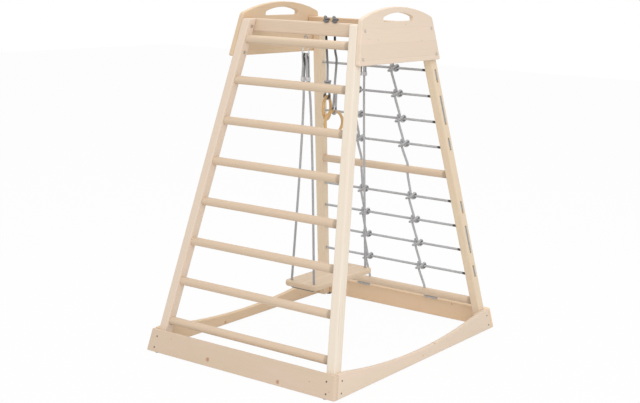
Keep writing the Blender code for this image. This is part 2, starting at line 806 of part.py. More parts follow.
def circle_points(centre, radius, first, last, steps):
    """Points of an arc in a plane of (across, up), angles in degrees."""
    points = []
    for step in range(steps + 1):
        angle = math.radians(first + (last - first) * step / steps)
        points.append((centre[0] + radius * math.cos(angle), centre[1] + radius * math.sin(angle)))
    return points


def strand_line(end, side, height):
    """Where the standing part of a swing rope's strand is, at a height between hook and seat."""
    share = (CARABINER_LOW - height) / (CARABINER_LOW - SEAT_TOP)
    inner = HOOK_Y - LOOP_RADIUS
    x = STRAND_X + (SEAT_HOLE_X - STRAND_X) * share
    y = inner + (SEAT_HOLE_Y - inner) * share
    return Vector((side * x, end * y, height))


def half_swing_rope(end, side):
    """From the rope's end up beside itself, over the carabiner and down into the seat."""
    beside = Vector((0, end * ROPE_PAIR, 0))
    points = [strand_line(end, side, height) + beside for height in (SLEEVE_BOTTOM - TAIL_SHOWS, CARABINER_LOW - PAIR_DROP)]
    for across, z in circle_points((HOOK_Y, CARABINER_LOW), LOOP_RADIUS, 0, 180, 6):
        points.append(Vector((side * STRAND_X, end * across, z)))
    points.append(strand_line(end, side, CARABINER_LOW - PAIR_DROP))
    points.append(Vector((side * SEAT_HOLE_X, end * SEAT_HOLE_Y, SEAT_TOP + ROPE_FIT)))
    corner = Vector((side * SEAT_HOLE_X, end * SEAT_HOLE_Y, SEAT_TOP - SEAT_THICKNESS))
    return points + turned_down(corner, SWING_ROPE, Vector((-side, 0, 0)), SEAT_HOLE_X)[:-1]


def make_sleeve(name, end, side):
    """A short sleeve round a strand and the rope's end beside it."""
    top, bottom = strand_line(end, side, SLEEVE_TOP), strand_line(end, side, SLEEVE_BOTTOM)
    along = (top - bottom).normalized()
    across = Vector((0, 1, 0))
    across = (across - along * along.y).normalized()
    centre = (top + bottom) / 2 + Vector((0, end * ROPE_PAIR / 2, 0))
    placed = Matrix((across, along.cross(across), along)).transposed().to_4x4()

    def stadium(radius):
        right_half = circle_points((ROPE_PAIR / 2, 0), radius, -90, 90, 6)
        return right_half + circle_points((-ROPE_PAIR / 2, 0), radius, 90, 270, 6)

    bore = SWING_ROPE / 2 + ROPE_FIT
    outlines = [stadium(bore + SLEEVE_WALL), stadium(bore)]
    sleeve = plate(outlines, SLEEVE_TOP - SLEEVE_BOTTOM, 0, Matrix.Translation(centre) @ placed)
    add_object(name, mesh_from(name, sleeve, smooth=True), "rubber", swing_axis)


for end, end_name in ((FRONT, "front"), (REAR, "rear")):
    y = end * HOOK_Y
    stem_top = EYE_HEIGHT + EYE_RADIUS + EYE_STEM
    neck = EYE_HEIGHT + EYE_RADIUS + 2 * WIRE_RADIUS
    wire = [(0, stem_top), (0, neck), (WIRE_RADIUS, EYE_HEIGHT + EYE_RADIUS + WIRE_RADIUS * 0.6)]
    wire += circle_points((0, EYE_HEIGHT), EYE_RADIUS, 50, -245, 16)
    eye_points = [Vector((0, y + across, z)) for across, z in wire]
    report_gap("screw_eye_" + end_name, eye_points, 2 * WIRE_RADIUS)
    tube("screw_eye_" + end_name, eye_points, WIRE_RADIUS, "steel", resolution=WIRE_RESOLUTION)

    low_centre = CARABINER_LOW_HALF - CARABINER_LOW_RADIUS
    low_height = CARABINER_LOW + CARABINER_LOW_RADIUS
    bow = circle_points((0, CARABINER_TOP - CARABINER_TOP_RADIUS), CARABINER_TOP_RADIUS, 0, 180, 8)
    bow += circle_points((-low_centre, low_height), CARABINER_LOW_RADIUS, 180, 270, 4)
    bow += circle_points((low_centre, low_height), CARABINER_LOW_RADIUS, 270, 360, 4)
    tube(
        "carabiner_" + end_name, [Vector((x, y, z)) for x, z in bow], WIRE_RADIUS, "steel", swing_axis,
        resolution=WIRE_RESOLUTION, cyclic=True,
    )

    rope_points = half_swing_rope(end, LEFT) + list(reversed(half_swing_rope(end, RIGHT)))
    report_gap("swing_rope_" + end_name, rope_points, SWING_ROPE)
    tube("swing_rope_" + end_name, rope_points, SWING_ROPE / 2, "rope", swing_axis)
    make_sleeve(f"rope_sleeve_{end_name}_left", end, LEFT)
    make_sleeve(f"rope_sleeve_{end_name}_right", end, RIGHT)

half_x, half_y = SEAT_WIDTH / 2, SEAT_LENGTH / 2
seat_outline = rounded([
    (-half_x, -half_y, SEAT_CORNER), (half_x, -half_y, SEAT_CORNER),
    (half_x, half_y, SEAT_CORNER), (-half_x, half_y, SEAT_CORNER),
])
seat_place = Matrix.Translation((0, 0, SEAT_TOP - SEAT_THICKNESS / 2))
seat_shape = plate([seat_outline], SEAT_THICKNESS, SEAT_EDGE, seat_place, resolution=2)
seat = add_object("swing_seat", mesh_from("swing_seat", seat_shape), "seat", swing_axis)
seat_holes = bmesh.new()
for x in (-SEAT_HOLE_X, SEAT_HOLE_X):
    for y in (-SEAT_HOLE_Y, SEAT_HOLE_Y):
        low, high = SEAT_TOP - 2 * SEAT_THICKNESS, SEAT_TOP + SEAT_THICKNESS
        add_cylinder(seat_holes, SWING_ROPE / 2 + ROPE_FIT, (x, y, low), (x, y, high), 12)
cut(seat, seat_holes)


# Rings, each on a rope that is knotted on top of the front beam
def noose(top, bends, ring_x, ring_top, rise, across):
    """A rope with a round end that comes down, goes round the ring and coils about itself above it."""
    rope = RING_ROPE
    reach = RING_SECTION + ROPE_FIT + rope / 2
    coil = rope + STOPPER_GAP
    start = ring_top + rise
    points = [Vector((top.x, 0, top.z + rope / 2 * share)) for share in (0.995, 0.866, 0.5, 0.0)]
    points += [Vector((top.x + out, 0, top.z - drop)) for out, drop in bends]
    points.append(Vector((ring_x, 0, start + (NOOSE_TURNS + 1) * coil)))
    points.append(Vector((ring_x, 0, start)))
    ring = Vector((ring_x, 0, 0))
    points.append(ring + across * (-reach * 0.55) + Vector((0, 0, ring_top + reach * 1.3)))
    for angle in range(150, 391, 30):
        swing = math.radians(angle)
        drop = reach * math.sin(swing)
        points.append(ring + across * (reach * math.cos(swing)) + Vector((0, 0, ring_top + drop)))
    points.append(ring + across * (reach * 0.82) + Vector((0, 0, ring_top + reach * 1.3)))
    sideways = Vector((-across.y, across.x, 0))
    for step in range(NOOSE_TURNS * STOPPER_STEPS):
        angle = 2 * math.pi * step / STOPPER_STEPS
        offset = across * math.cos(angle) + sideways * math.sin(angle)
        points.append(ring + offset * coil + Vector((0, 0, start + coil * step / STOPPER_STEPS)))
    leave = sideways * math.cos(angle) - across * math.sin(angle)
    points.append(points[-1] + leave * NOOSE_TAIL)
    return [Vector((0, top.y, 0)) + point for point in points]


ROUND_END = {0: 0.1, 1: 0.5, 2: 0.866}
for index in range(2):
    number = index + 1
    hole, x, height, turn = RING_HOLE_X[index], RING_X[index], RING_HEIGHT[index], RING_TURN[index]
    y = -HOOK_Y
    axis = axis_empty(f"ring_{number}_axis", (hole, y, RING_AXIS))
    spin = Matrix.Rotation(-math.pi / 2 - STOPPER_START, 3, "Z")
    knot = [Vector((hole, y, LEG_TOP)) + spin @ point for point in stopper(RING_ROPE)]
    knot.insert(0, Vector((hole, y, BEAM_BOTTOM)))
    report_gap(f"ring_{number}_top_knot", knot, RING_ROPE)
    tube(f"ring_{number}_top_knot", knot, RING_ROPE / 2, "rope")
    normal = Vector((math.cos(turn), math.sin(turn), 0))
    top = Vector((hole, y, RING_AXIS))
    hang = noose(top, RING_ROPE_BENDS[index], x, height + RING_RADIUS, NOOSE_HEIGHT[index], normal)
    report_gap(f"ring_{number}_rope", hang, RING_ROPE)
    tube(f"ring_{number}_rope", hang, RING_ROPE / 2, "rope", axis, taper=ROUND_END)
    bpy.ops.mesh.primitive_torus_add(
        major_segments=26, minor_segments=8, major_radius=RING_RADIUS, minor_radius=RING_SECTION,
        location=(x, y, height), rotation=(0, math.pi / 2, turn),
    )
    ring = bpy.context.active_object
    ring.name = f"ring_{number}"
    for holder in list(ring.users_collection):
        holder.objects.unlink(ring)
    tower.objects.link(ring)
    ring.data.shade_smooth()
    ring.data.materials.append(finish_for(ring.name, "ring"))
    ring.parent = axis
    ring.matrix_parent_inverse = axis.matrix_world.inverted()
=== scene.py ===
import math

import bmesh
import bpy
from mathutils import Matrix, Vector


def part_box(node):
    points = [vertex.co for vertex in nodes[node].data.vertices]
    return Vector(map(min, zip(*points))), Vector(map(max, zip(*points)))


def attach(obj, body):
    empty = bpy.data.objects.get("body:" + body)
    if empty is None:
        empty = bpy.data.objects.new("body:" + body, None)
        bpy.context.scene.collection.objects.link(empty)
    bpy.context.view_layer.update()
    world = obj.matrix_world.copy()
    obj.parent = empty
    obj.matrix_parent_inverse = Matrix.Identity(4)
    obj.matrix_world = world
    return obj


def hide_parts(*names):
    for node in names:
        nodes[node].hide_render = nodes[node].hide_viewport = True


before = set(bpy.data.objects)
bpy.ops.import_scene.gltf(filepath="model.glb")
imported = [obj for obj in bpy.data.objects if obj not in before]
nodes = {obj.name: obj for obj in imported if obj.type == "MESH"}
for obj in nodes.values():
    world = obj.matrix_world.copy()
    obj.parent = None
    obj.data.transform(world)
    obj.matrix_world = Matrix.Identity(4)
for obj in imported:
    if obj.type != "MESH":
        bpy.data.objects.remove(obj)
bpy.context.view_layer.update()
LEFT, RIGHT, FRONT, REAR = -1, 1, -1, 1
SIDES = ((LEFT, "left"), (RIGHT, "right"))
ENDS = ((FRONT, "front"), (REAR, "rear"))
FULL_TURN = 2 * math.pi


# Making objects and saying what they are
def new_object(name, data):
    """An object that shows some data in the scene."""
    made = bpy.data.objects.new(name, data)
    bpy.context.scene.collection.objects.link(made)
    return made


def mesh_from(shape, name, materials):
    """The mesh of a bmesh, which is freed."""
    data = bpy.data.meshes.new(name)
    shape.to_mesh(data)
    shape.free()
    for made in materials:
        data.materials.append(made)
    return data


def carry(piece, body):
    """A piece that moves with a body and stands for no CAD node."""
    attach(piece, body)


def stand_for(piece, node, body):
    """A piece that shows in the place of a CAD node."""
    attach(piece, body)
    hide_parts(node)


# Camera at the photograph's angle
CAMERA_PLACE = (2.50733, -3.56583, 1.37381)
CAMERA_RIGHT = Vector((0.80921, 0.58696, 0.02585))
CAMERA_UP = Vector((-0.13265, 0.13967, 0.98127))
CAMERA_BACK = Vector((0.57236, -0.79748, 0.19088))
CAMERA_LENS, CAMERA_SENSOR, CAMERA_REACH = 67.58, 36.0, 60.0

camera_data = bpy.data.cameras.new("camera")
camera_data.sensor_width = CAMERA_SENSOR
camera_data.lens = CAMERA_LENS
camera_data.clip_end = CAMERA_REACH
camera = new_object("camera", camera_data)
turned = Matrix((CAMERA_RIGHT, CAMERA_UP, CAMERA_BACK)).transposed().to_4x4()
camera.matrix_world = Matrix.Translation(CAMERA_PLACE) @ turned
bpy.context.scene.camera = camera
bpy.context.scene.view_settings.view_transform = "Standard"

# Frame sizes, as in the CAD model
HALF_X, HALF_Y = 0.399, 0.528
LEAN_X, LEAN_Y = 0.127, 0.25
LEG_X, LEG_Y, LEG_TOP = 0.034, 0.040, 1.191
BOARD_OUTER, PANEL_OUTER = 0.0188, 0.0183
BEAM_HEIGHT, BEAM_HALF = 0.045, 0.014
BEAM_BOTTOM = LEG_TOP - BEAM_HEIGHT
JOINT_GAP, ROPE_FIT = 0.0003, 0.0007


def leg_line(z):
    """Distance of the legs' centre line from the middle of the frame, along Y, at height z."""
    return HALF_Y - LEG_Y / 2 - LEAN_Y * z


def inner_half_width(z):
    """Half the clear width between the legs at height z."""
    return HALF_X - LEG_X - LEAN_X * z


# Shader nodes
NOISE_LOW, NOISE_HIGH = 0.3, 0.7


def start_material(name):
    """A new material with its node tree and its main shader."""
    made = bpy.data.materials.new(name)
    made.use_nodes = True
    tree = made.node_tree
    return made, tree, tree.nodes["Principled BSDF"]


def feed(tree, node, inputs):
    """Set a node's inputs, each to a value or to the output socket that feeds it."""
    for name, value in inputs.items():
        if isinstance(value, bpy.types.NodeSocket):
            tree.links.new(value, node.inputs[name])
        else:
            node.inputs[name].default_value = value


def add(tree, kind, inputs=None, **settings):
    made = tree.nodes.new(kind)
    for name, value in settings.items():
        setattr(made, name, value)
    feed(tree, made, inputs or {})
    return made


def math_node(tree, operation, *values):
    return add(tree, "ShaderNodeMath", dict(enumerate(values)), operation=operation).outputs[0]


def plus(tree, first, second):
    return math_node(tree, "ADD", first, second)


def minus(tree, first, second):
    return math_node(tree, "SUBTRACT", first, second)


def times(tree, first, second):
    return math_node(tree, "MULTIPLY", first, second)


def vector_node(tree, operation, *values):
    return add(tree, "ShaderNodeVectorMath", dict(enumerate(values)), operation=operation).outputs[0]


def scaled(tree, vector, factors):
    return vector_node(tree, "MULTIPLY", vector, factors)


def object_place(tree):
    """Where a point lies, in metres from its object's origin."""
    return add(tree, "ShaderNodeTexCoord").outputs["Object"]


def parts_of(tree, vector):
    return add(tree, "ShaderNodeSeparateXYZ", {0: vector}).outputs


def chance(tree, number):
    """A random value and colour that stay the same for a number."""
    return add(tree, "ShaderNodeTexWhiteNoise", {"W": number}, noise_dimensions="1D").outputs


def noise(tree, vector, scale, detail=2.0, roughness=0.5):
    inputs = {"Vector": vector, "Scale": scale, "Detail": detail, "Roughness": roughness}
    return add(tree, "ShaderNodeTexNoise", inputs).outputs["Fac"]


def span(tree, value, low, high, to_low=0.0, to_high=1.0):
    """A value from one range carried over to another."""
    return add(tree, "ShaderNodeMapRange", {0: value, 1: low, 2: high, 3: to_low, 4: to_high}).outputs[0]


def noise_span(tree, value, to_low, to_high):
    """Noise carried from the range where most of it lies over to another."""
    return span(tree, value, NOISE_LOW, NOISE_HIGH, to_low, to_high)


def mixed(tree, share, first, second, blend="MIX"):
    """Mix of two colours; sockets 6 and 7 are the colour inputs of the node and 2 its colour output."""
    inputs = {0: share, 6: first, 7: second}
    return add(tree, "ShaderNodeMix", inputs, data_type="RGBA", blend_type=blend).outputs[2]


def shaded(tree, colour, factor):
    """A colour made lighter or darker by a factor."""
    grey = add(tree, "ShaderNodeCombineXYZ", dict.fromkeys(range(3), factor)).outputs[0]
    return mixed(tree, 1.0, colour, grey, "MULTIPLY")


def add_bump(tree, shader, height, strength, distance):
    bump = add(tree, "ShaderNodeBump", {"Height": height, "Strength": strength, "Distance": distance})
    feed(tree, shader, {"Normal": bump.outputs[0]})


def rgb(red, green, blue):
    """A colour given as it shows on screen, 0 to 255, in the linear values that shaders use."""
    linear = []
    for value in (red, green, blue):
        share = value / 255
        linear.append(share / 12.92 if share <= 0.04045 else ((share + 0.055) / 1.055) ** 2.4)
    return (*linear, 1.0)


# Wood: growth rings round a pith beside the piece, fibres along the grain, knots and glued staves
TEXTURE_PERIOD = FULL_TURN / 20
GROWTH_SPACING, GROWTH_STRETCH, LATE_POWER = 0.0042, (0.05, 1.0, 1.0), 2.2
SWELL_STRETCH, SWELL_DEPTH = (2.2, 14.0, 14.0), 9.0
CLOUD_STRETCH, CLOUD_FROM, CLOUD_TO, CLOUD_SHOWS = (3.0, 22.0, 22.0), 0.42, 0.72, 0.55
FIBRE_STRETCH, FIBRE_DARK, FIBRE_LIGHT = (14.0, 1100.0, 1100.0), 0.95, 1.04
SEED_SHIFT, STAVE_SEED, STAVE_SHIFT = 0.53, 7.3, (0.4, 0.05, 0.08)
STAVE_DARK, STAVE_LIGHT, GLUE_LINE, GLUE_SHOWS = 0.98, 1.015, 0.0007, 0.35
EARLY_ROUGH, LATE_ROUGH, CLOUD_ROUGH, WOOD_GLOSS = 0.50, 0.44, 0.04, 0.42
GRAIN_BUMP, GRAIN_DEPTH = 0.35, 0.00025
KNOT_NOISE, KNOT_WOBBLE, KNOT_FALL, KNOT_PULL = 260.0, 0.2, -0.12, 14.0
KNOT_EDGE, KNOT_CORE, KNOT_GRAIN, KNOT_SHOWS = 1.15, 0.65, 420.0, 0.8
KNOT_LIGHT, KNOT_DARK = (198, 150, 116), (152, 104, 74)


def add_knots(tree, place, knots, phase):
    """The phase of the growth rings with the knots' pull on it, and a mask of the knots."""
    mask = None
    for point, across, radius in knots:
        gap = vector_node(tree, "SUBTRACT", place, point)
        flat = scaled(tree, gap, tuple(1.0 - abs(part) for part in across))
        wobble = noise_span(tree, noise(tree, flat, KNOT_NOISE), -KNOT_WOBBLE, KNOT_WOBBLE)
        distance = add(tree, "ShaderNodeVectorMath", {0: flat}, operation="LENGTH").outputs["Value"]
        share = plus(tree, math_node(tree, "DIVIDE", distance, radius), wobble)
        fall = times(tree, math_node(tree, "POWER", share, 2.0), KNOT_FALL)
        pull = math_node(tree, "EXPONENT", fall)
        phase = plus(tree, phase, times(tree, pull, KNOT_PULL))
        core = span(tree, share, KNOT_EDGE, KNOT_CORE)
        mask = core if mask is None else math_node(tree, "MAXIMUM", mask, core)
    return phase, mask


def wood(name, grain, centre, tone, seed, knots=(), staves=None, pith=(0.045, 0.06), rings=0.34, ends=None):
    """A satin lacquered softwood whose grain runs along a direction through the piece's centre.

    tone is the colours of early wood, late wood and warmer clouds, and rings is how strongly late wood shows.
    At a scale of 1 the wave texture that makes the growth rings repeats every TEXTURE_PERIOD.
    staves is the height of one glue line and a stave's width. ends is where along X a stretch of painted
    shade near the right leg starts and is full, and how much darker it gets.
    """
    made, tree, shader = start_material(name)
    place = object_place(tree)
    turn = Vector(grain).normalized().rotation_difference(Vector((1, 0, 0)))
    shift = Vector((SEED_SHIFT * seed, *pith)) - turn @ Vector(centre)
    inputs = {0: place, "Location": shift, "Rotation": turn.to_euler()}
    along = add(tree, "ShaderNodeMapping", inputs).outputs[0]
    light, line, warm = (rgb(*colour) for colour in tone)

    if staves:
        first, width = staves
        strip = math_node(tree, "DIVIDE", minus(tree, parts_of(tree, place)[2], first), width)
        stave = chance(tree, plus(tree, math_node(tree, "FLOOR", strip), STAVE_SEED * seed))
        along = vector_node(tree, "ADD", along, scaled(tree, stave["Color"], STAVE_SHIFT))

    swell = noise(tree, scaled(tree, along, SWELL_STRETCH), 1.0, 3.0)
    phase, knot_mask = add_knots(tree, place, knots, times(tree, swell, SWELL_DEPTH))
    inputs = {
        "Vector": scaled(tree, along, GROWTH_STRETCH), "Scale": TEXTURE_PERIOD / GROWTH_SPACING,
        "Distortion": 1.2, "Detail": 2.0, "Detail Scale": 0.4, "Phase Offset": phase,
    }
    wave = add(
        tree, "ShaderNodeTexWave", inputs, wave_type="RINGS", rings_direction="X", wave_profile="SAW",
    ).outputs["Fac"]
    late = math_node(tree, "POWER", wave, LATE_POWER)
    fibre = noise(tree, scaled(tree, along, FIBRE_STRETCH), 1.0, 2.0, 0.6)
    cloud = noise(tree, scaled(tree, along, CLOUD_STRETCH), 1.0, 3.0, 0.55)

    colour = mixed(tree, times(tree, late, rings), light, line)
    colour = mixed(tree, span(tree, cloud, CLOUD_FROM, CLOUD_TO, 0.0, CLOUD_SHOWS), colour, warm)
    colour = shaded(tree, colour, span(tree, fibre, 0.2, 0.8, FIBRE_DARK, FIBRE_LIGHT))
    if staves:
        colour = shaded(tree, colour, span(tree, stave["Value"], 0.0, 1.0, STAVE_DARK, STAVE_LIGHT))
        edge = math_node(tree, "ABSOLUTE", minus(tree, math_node(tree, "FRACT", strip), 0.5))
        seam = span(tree, edge, 0.5 - GLUE_LINE / width, 0.5)
        colour = mixed(tree, times(tree, seam, GLUE_SHOWS), colour, line)
    if knot_mask:
        brown = mixed(tree, noise(tree, place, KNOT_GRAIN, 3.0), rgb(*KNOT_LIGHT), rgb(*KNOT_DARK))
        colour = mixed(tree, times(tree, knot_mask, KNOT_SHOWS), colour, brown)
    # Painted shade near the right leg
    if ends:
        starts, full, depth = ends
        colour = shaded(tree, colour, span(tree, parts_of(tree, place)[0], starts, full, 1.0, 1.0 - depth))

    rough = span(tree, late, 0.0, 1.0, EARLY_ROUGH, LATE_ROUGH)
    rough = plus(tree, rough, noise_span(tree, cloud, -CLOUD_ROUGH, CLOUD_ROUGH))
    feed(tree, shader, {"Base Color": colour, "Roughness": rough, "Specular IOR Level": WOOD_GLOSS})
    height = plus(tree, times(tree, late, 0.5), times(tree, fibre, 0.5))
    add_bump(tree, shader, height, GRAIN_BUMP, GRAIN_DEPTH)
    return made


def dress(node, made):
    """Give a CAD node its material."""
    obj = nodes[node]
    for slot in obj.material_slots:
        slot.material = made
    if not obj.material_slots:
        obj.data.materials.append(made)


def middle(node):
    low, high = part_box(node)
    return (low + high) / 2


# Tones of the wood, each with its early wood, late wood and warmer clouds; the differences between left,
# right, front and rear pieces are partly each piece's own tone and partly painted light and shade
PALE = ((240, 228, 211), (214, 184, 148), (240, 221, 203))
PALE_LEFT = ((232, 214, 195), (206, 174, 138), (232, 208, 189))
PALE_REAR = ((236, 217, 189), (206, 172, 132), (236, 209, 183))
BEIGE = ((221, 200, 176), (193, 156, 121), (225, 201, 184))
BEIGE_REAR = ((243, 216, 182), (212, 170, 126), (243, 211, 182))
BROWN = ((216, 188, 156), (186, 146, 106), (218, 184, 154))
PANEL_RIGHT = ((233, 215, 194), (204, 169, 132), (236, 212, 193))
PANEL_LEFT = ((225, 200, 168), (196, 154, 108), (226, 198, 168))
RUNG_TONE = ((221, 200, 175), (194, 158, 118), (221, 195, 170))
SEAT_TONE = ((225, 205, 179), (190, 153, 114), (225, 199, 176))

# Knots and pins: the place, the direction into the face and the radius
FRONT_FACE, SIDE_FACE = (0, 1, 0), (1, 0, 0)
KNOTS = {
    "base_board_front": (
        ((-0.128, -0.54, 0.027), FRONT_FACE, 0.0078),
        ((0.183, -0.54, 0.017), FRONT_FACE, 0.0070),
        ((-0.3074, -0.531, 0.0631), FRONT_FACE, 0.0020),
        ((0.3089, -0.5356, 0.0449), FRONT_FACE, 0.0022),
        ((0.3904, -0.5396, 0.0287), FRONT_FACE, 0.0020),
    ),
    "base_board_left": (
        ((-0.40, -0.127, 0.014), SIDE_FACE, 0.0060),
        ((-0.40, 0.359, 0.0213), SIDE_FACE, 0.0030),
    ),
    "base_board_right": (
        ((0.41, 0.095, 0.043), SIDE_FACE, 0.0030),
        ((0.41, 0.008, 0.020), SIDE_FACE, 0.0030),
    ),
    "base_board_rear": (((0.242, 0.51, 0.070), FRONT_FACE, 0.0032),),
    "end_panel_right": (
        ((0.27, 0.0416, 1.188), SIDE_FACE, 0.0022),
        ((0.27, 0.1435, 1.129), SIDE_FACE, 0.0022),
        ((0.27, -0.1948, 1.1431), SIDE_FACE, 0.0018),
        ((0.27, -0.138, 1.1396), SIDE_FACE, 0.0018),
    ),
}
PANEL_STAVES = (1.126, 0.051)
# Painted shade on beams and rungs near the right leg: how far it reaches, how dark it gets, and where it is
# full
BEAM_END_SHADE, RUNG_END_SHADE, END_SHADE_FULL = (0.040, 0.20), (0.021, 0.34), 0.012


def dress_wood(node, grain, tone, seed, end_shade=None, **looks):
    """Give a CAD node its wood, with painted shade near the right leg that reaches as far and grows as dark
    as given.
    """
    if end_shade:
        reach, depth = end_shade
        meets = inner_half_width(middle(node).z)
        looks["ends"] = (meets - reach, meets - END_SHADE_FULL, depth)
    dress(node, wood(node + "_wood", grain, middle(node), tone, seed, KNOTS.get(node, ()), **looks))


ALONG_X, ALONG_Y = (1, 0, 0), (0, 1, 0)
# These tones are partly lit and shaded copies of one wood: painted light and shade on the pieces
LEG_TONES = {
    (FRONT, LEFT): PALE_LEFT, (FRONT, RIGHT): PALE,
    (REAR, LEFT): PALE_REAR, (REAR, RIGHT): PALE_REAR,
}
BOARD_TONES, BEAM_TONES = {FRONT: BEIGE, REAR: BEIGE_REAR}, {FRONT: BEIGE, REAR: BROWN}
PANEL_TONES = {LEFT: PANEL_LEFT, RIGHT: PANEL_RIGHT}
for end, end_name in ENDS:
    for side, side_name in SIDES:
        lean = (-side * LEAN_X, -end * LEAN_Y, 1)
        seed = 1 + 2 * end + side
        pith = (0.03 * side, 0.055)
        dress_wood(f"leg_{end_name}_{side_name}", lean, LEG_TONES[end, side], seed, pith=pith, rings=0.26)
    dress_wood(f"base_board_{end_name}", ALONG_X, BOARD_TONES[end], 6 + end, pith=(0.02, 0.07))
    dress_wood(f"top_beam_{end_name}", ALONG_X, BEAM_TONES[end], 9 + end, BEAM_END_SHADE, pith=(0.05, 0.03))

for side, side_name in SIDES:
    dress_wood(f"base_board_{side_name}", ALONG_Y, PANEL_TONES[side], 12 + side, pith=(0.02, 0.07))
    looks = {"staves": PANEL_STAVES, "pith": (0.01, 0.06), "rings": 0.22}
    dress_wood(f"end_panel_{side_name}", ALONG_Y, PANEL_TONES[side], 15 + side, **looks)

rungs = [f"ladder_rung_{count}" for count in range(1, 9)] + ["net_rung_middle", "net_rung_bottom"]
for number, rung in enumerate(rungs):
    pith = (0.03, 0.02 + 0.004 * number)
    dress_wood(rung, ALONG_X, RUNG_TONE, 20 + number, RUNG_END_SHADE, pith=pith, rings=0.38)
dress_wood("swing_seat", ALONG_Y, SEAT_TONE, 33, pith=(0.01, 0.06), rings=0.55)


# Rubber and steel
RUBBER_PATCH, RUBBER_SPECK, RUBBER_LIGHTER, RUBBER_ROUGH = 60.0, 1400.0, 16, (0.55, 0.75)
ZINC_PATCH, ZINC_SCRATCH, ZINC_DARKER, ZINC_STRETCH = 240.0, 2600.0, -34, (1.0, 1.0, 0.12)


def patchy(tree, patch, tone, change):
    """A tone with patches that are lighter or darker by a change."""
    other = rgb(*(part + change for part in tone))
    return mixed(tree, span(tree, patch, 0.35, 0.65), rgb(*tone), other)


def rubber(name, tone):
    """Matte rubber, speckled and a little uneven in tone."""
    made, tree, shader = start_material(name)
    place = object_place(tree)
    patch = noise(tree, place, RUBBER_PATCH, 3.0)
    colour = patchy(tree, patch, tone, RUBBER_LIGHTER)
    feed(tree, shader, {"Base Color": colour, "Roughness": noise_span(tree, patch, *RUBBER_ROUGH)})
    add_bump(tree, shader, noise(tree, place, RUBBER_SPECK, 2.0), 0.4, 0.0002)
    return made


def zinc(name, tone, low, high):
    """Zinc-plated steel with a fine spangle and draw marks, rough between a low and a high value."""
    made, tree, shader = start_material(name)
    place = object_place(tree)
    patch = noise(tree, place, ZINC_PATCH, 4.0, 0.6)
    colour, rough = patchy(tree, patch, tone, ZINC_DARKER), noise_span(tree, patch, low, high)
    feed(tree, shader, {"Base Color": colour, "Metallic": 1.0, "Roughness": rough})
    scratch = noise(tree, scaled(tree, place, ZINC_STRETCH), ZINC_SCRATCH, 2.0)
    add_bump(tree, shader, scratch, 0.25, 0.0001)
    return made


black_rubber = rubber("foot_rubber", (34, 34, 34))
sleeve_rubber = rubber("sleeve_rubber", (198, 198, 200))
hook_steel = zinc("hook_steel", (214, 214, 214), 0.20, 0.36)
bolt_steel = zinc("bolt_steel", (216, 210, 200), 0.34, 0.50)
for end, end_name in ENDS:
    for side, side_name in SIDES:
        dress(f"foot_pad_{end_name}_{side_name}", black_rubber)
        dress(f"rope_sleeve_{end_name}_{side_name}", sleeve_rubber)
        for level in ("upper", "lower"):
            dress(f"panel_bolt_{end_name}_{side_name}_{level}", bolt_steel)
    dress(f"screw_eye_{end_name}", hook_steel)

# Braided rope: two families of strands that wind round the rope and pass over and under each other
STRANDS, BRAID_LEAD, UNDER_HEIGHT = 8, 4.4, 0.55
YARNS, YARN_HEIGHT, FLUFF = 3, 0.10, 900.0
ROPE_GREY, ROPE_SHADE, DARKENING_TONE = (206, 207, 209), 80, (30, 29, 29)
FURROW_DARK, FURROW_LIGHT = 0.05, 0.65
STRAND_LIGHT, FLUFF_LIGHT, ROPE_ROUGH = (0.92, 1.06), (0.94, 1.05), (0.78, 0.92)


def braid(name, diameter):
    """The mesh's UV holds turns round the rope and metres along it; an attribute on it darkens it, mostly
    with painted shade.
    """
    made, tree, shader = start_material(name)
    turns, metres, _ = parts_of(tree, add(tree, "ShaderNodeTexCoord").outputs["UV"])
    wound = math_node(tree, "DIVIDE", metres, BRAID_LEAD * diameter)
    rows, steps, humps = [], [], []
    for sign in ("ADD", "SUBTRACT"):
        strand = times(tree, math_node(tree, sign, turns, wound), STRANDS)
        centred = minus(tree, math_node(tree, "FRACT", strand), 0.5)
        squared = math_node(tree, "POWER", math_node(tree, "ABSOLUTE", centred), 2.0)
        rows.append(strand)
        steps.append(math_node(tree, "FLOOR", strand))
        humps.append(minus(tree, 1.0, times(tree, squared, 4.0)))
    over = math_node(tree, "FLOORED_MODULO", plus(tree, *steps), 2.0)

    def choose(first, second):
        return add(tree, "ShaderNodeMix", {0: over, 2: first, 3: second}, data_type="FLOAT").outputs[0]

    across, along = choose(*humps), choose(*reversed(humps))
    height = times(tree, across, span(tree, along, 0.0, 1.0, UNDER_HEIGHT, 1.0))
    yarn = math_node(tree, "SINE", times(tree, choose(*rows), YARNS * FULL_TURN))
    height = plus(tree, height, times(tree, yarn, YARN_HEIGHT))
    fluff = noise(tree, object_place(tree), FLUFF, 3.0)

    light, dark = rgb(*ROPE_GREY), rgb(*(part - ROPE_SHADE for part in ROPE_GREY))
    # Painted shade: the furrows between strands are darker
    colour = mixed(tree, span(tree, height, FURROW_DARK, FURROW_LIGHT), dark, light)
    strand_light = span(tree, chance(tree, choose(*steps))["Value"], 0.0, 1.0, *STRAND_LIGHT)
    colour = shaded(tree, colour, times(tree, strand_light, noise_span(tree, fluff, *FLUFF_LIGHT)))
    # Painted shade where ropes meet legs, beams, the seat and each other, and a little grey low on the swing
    # ropes
    darkening = add(tree, "ShaderNodeAttribute", attribute_name="darkening").outputs["Fac"]
    colour = mixed(tree, darkening, colour, rgb(*DARKENING_TONE))
    rough = noise_span(tree, fluff, *ROPE_ROUGH)
    feed(tree, shader, {"Base Color": colour, "Roughness": rough, "Specular IOR Level": 0.25})
    add_bump(tree, shader, height, 0.7, 0.0006)
    return made


# Tubes along a route of points
TUBE_STEP, CORNER_STEPS, SHORTEST = 0.002, 6, 1e-6
END_SHARES = (0.02, 0.08, 0.2, 0.4, 0.7, 1.0)


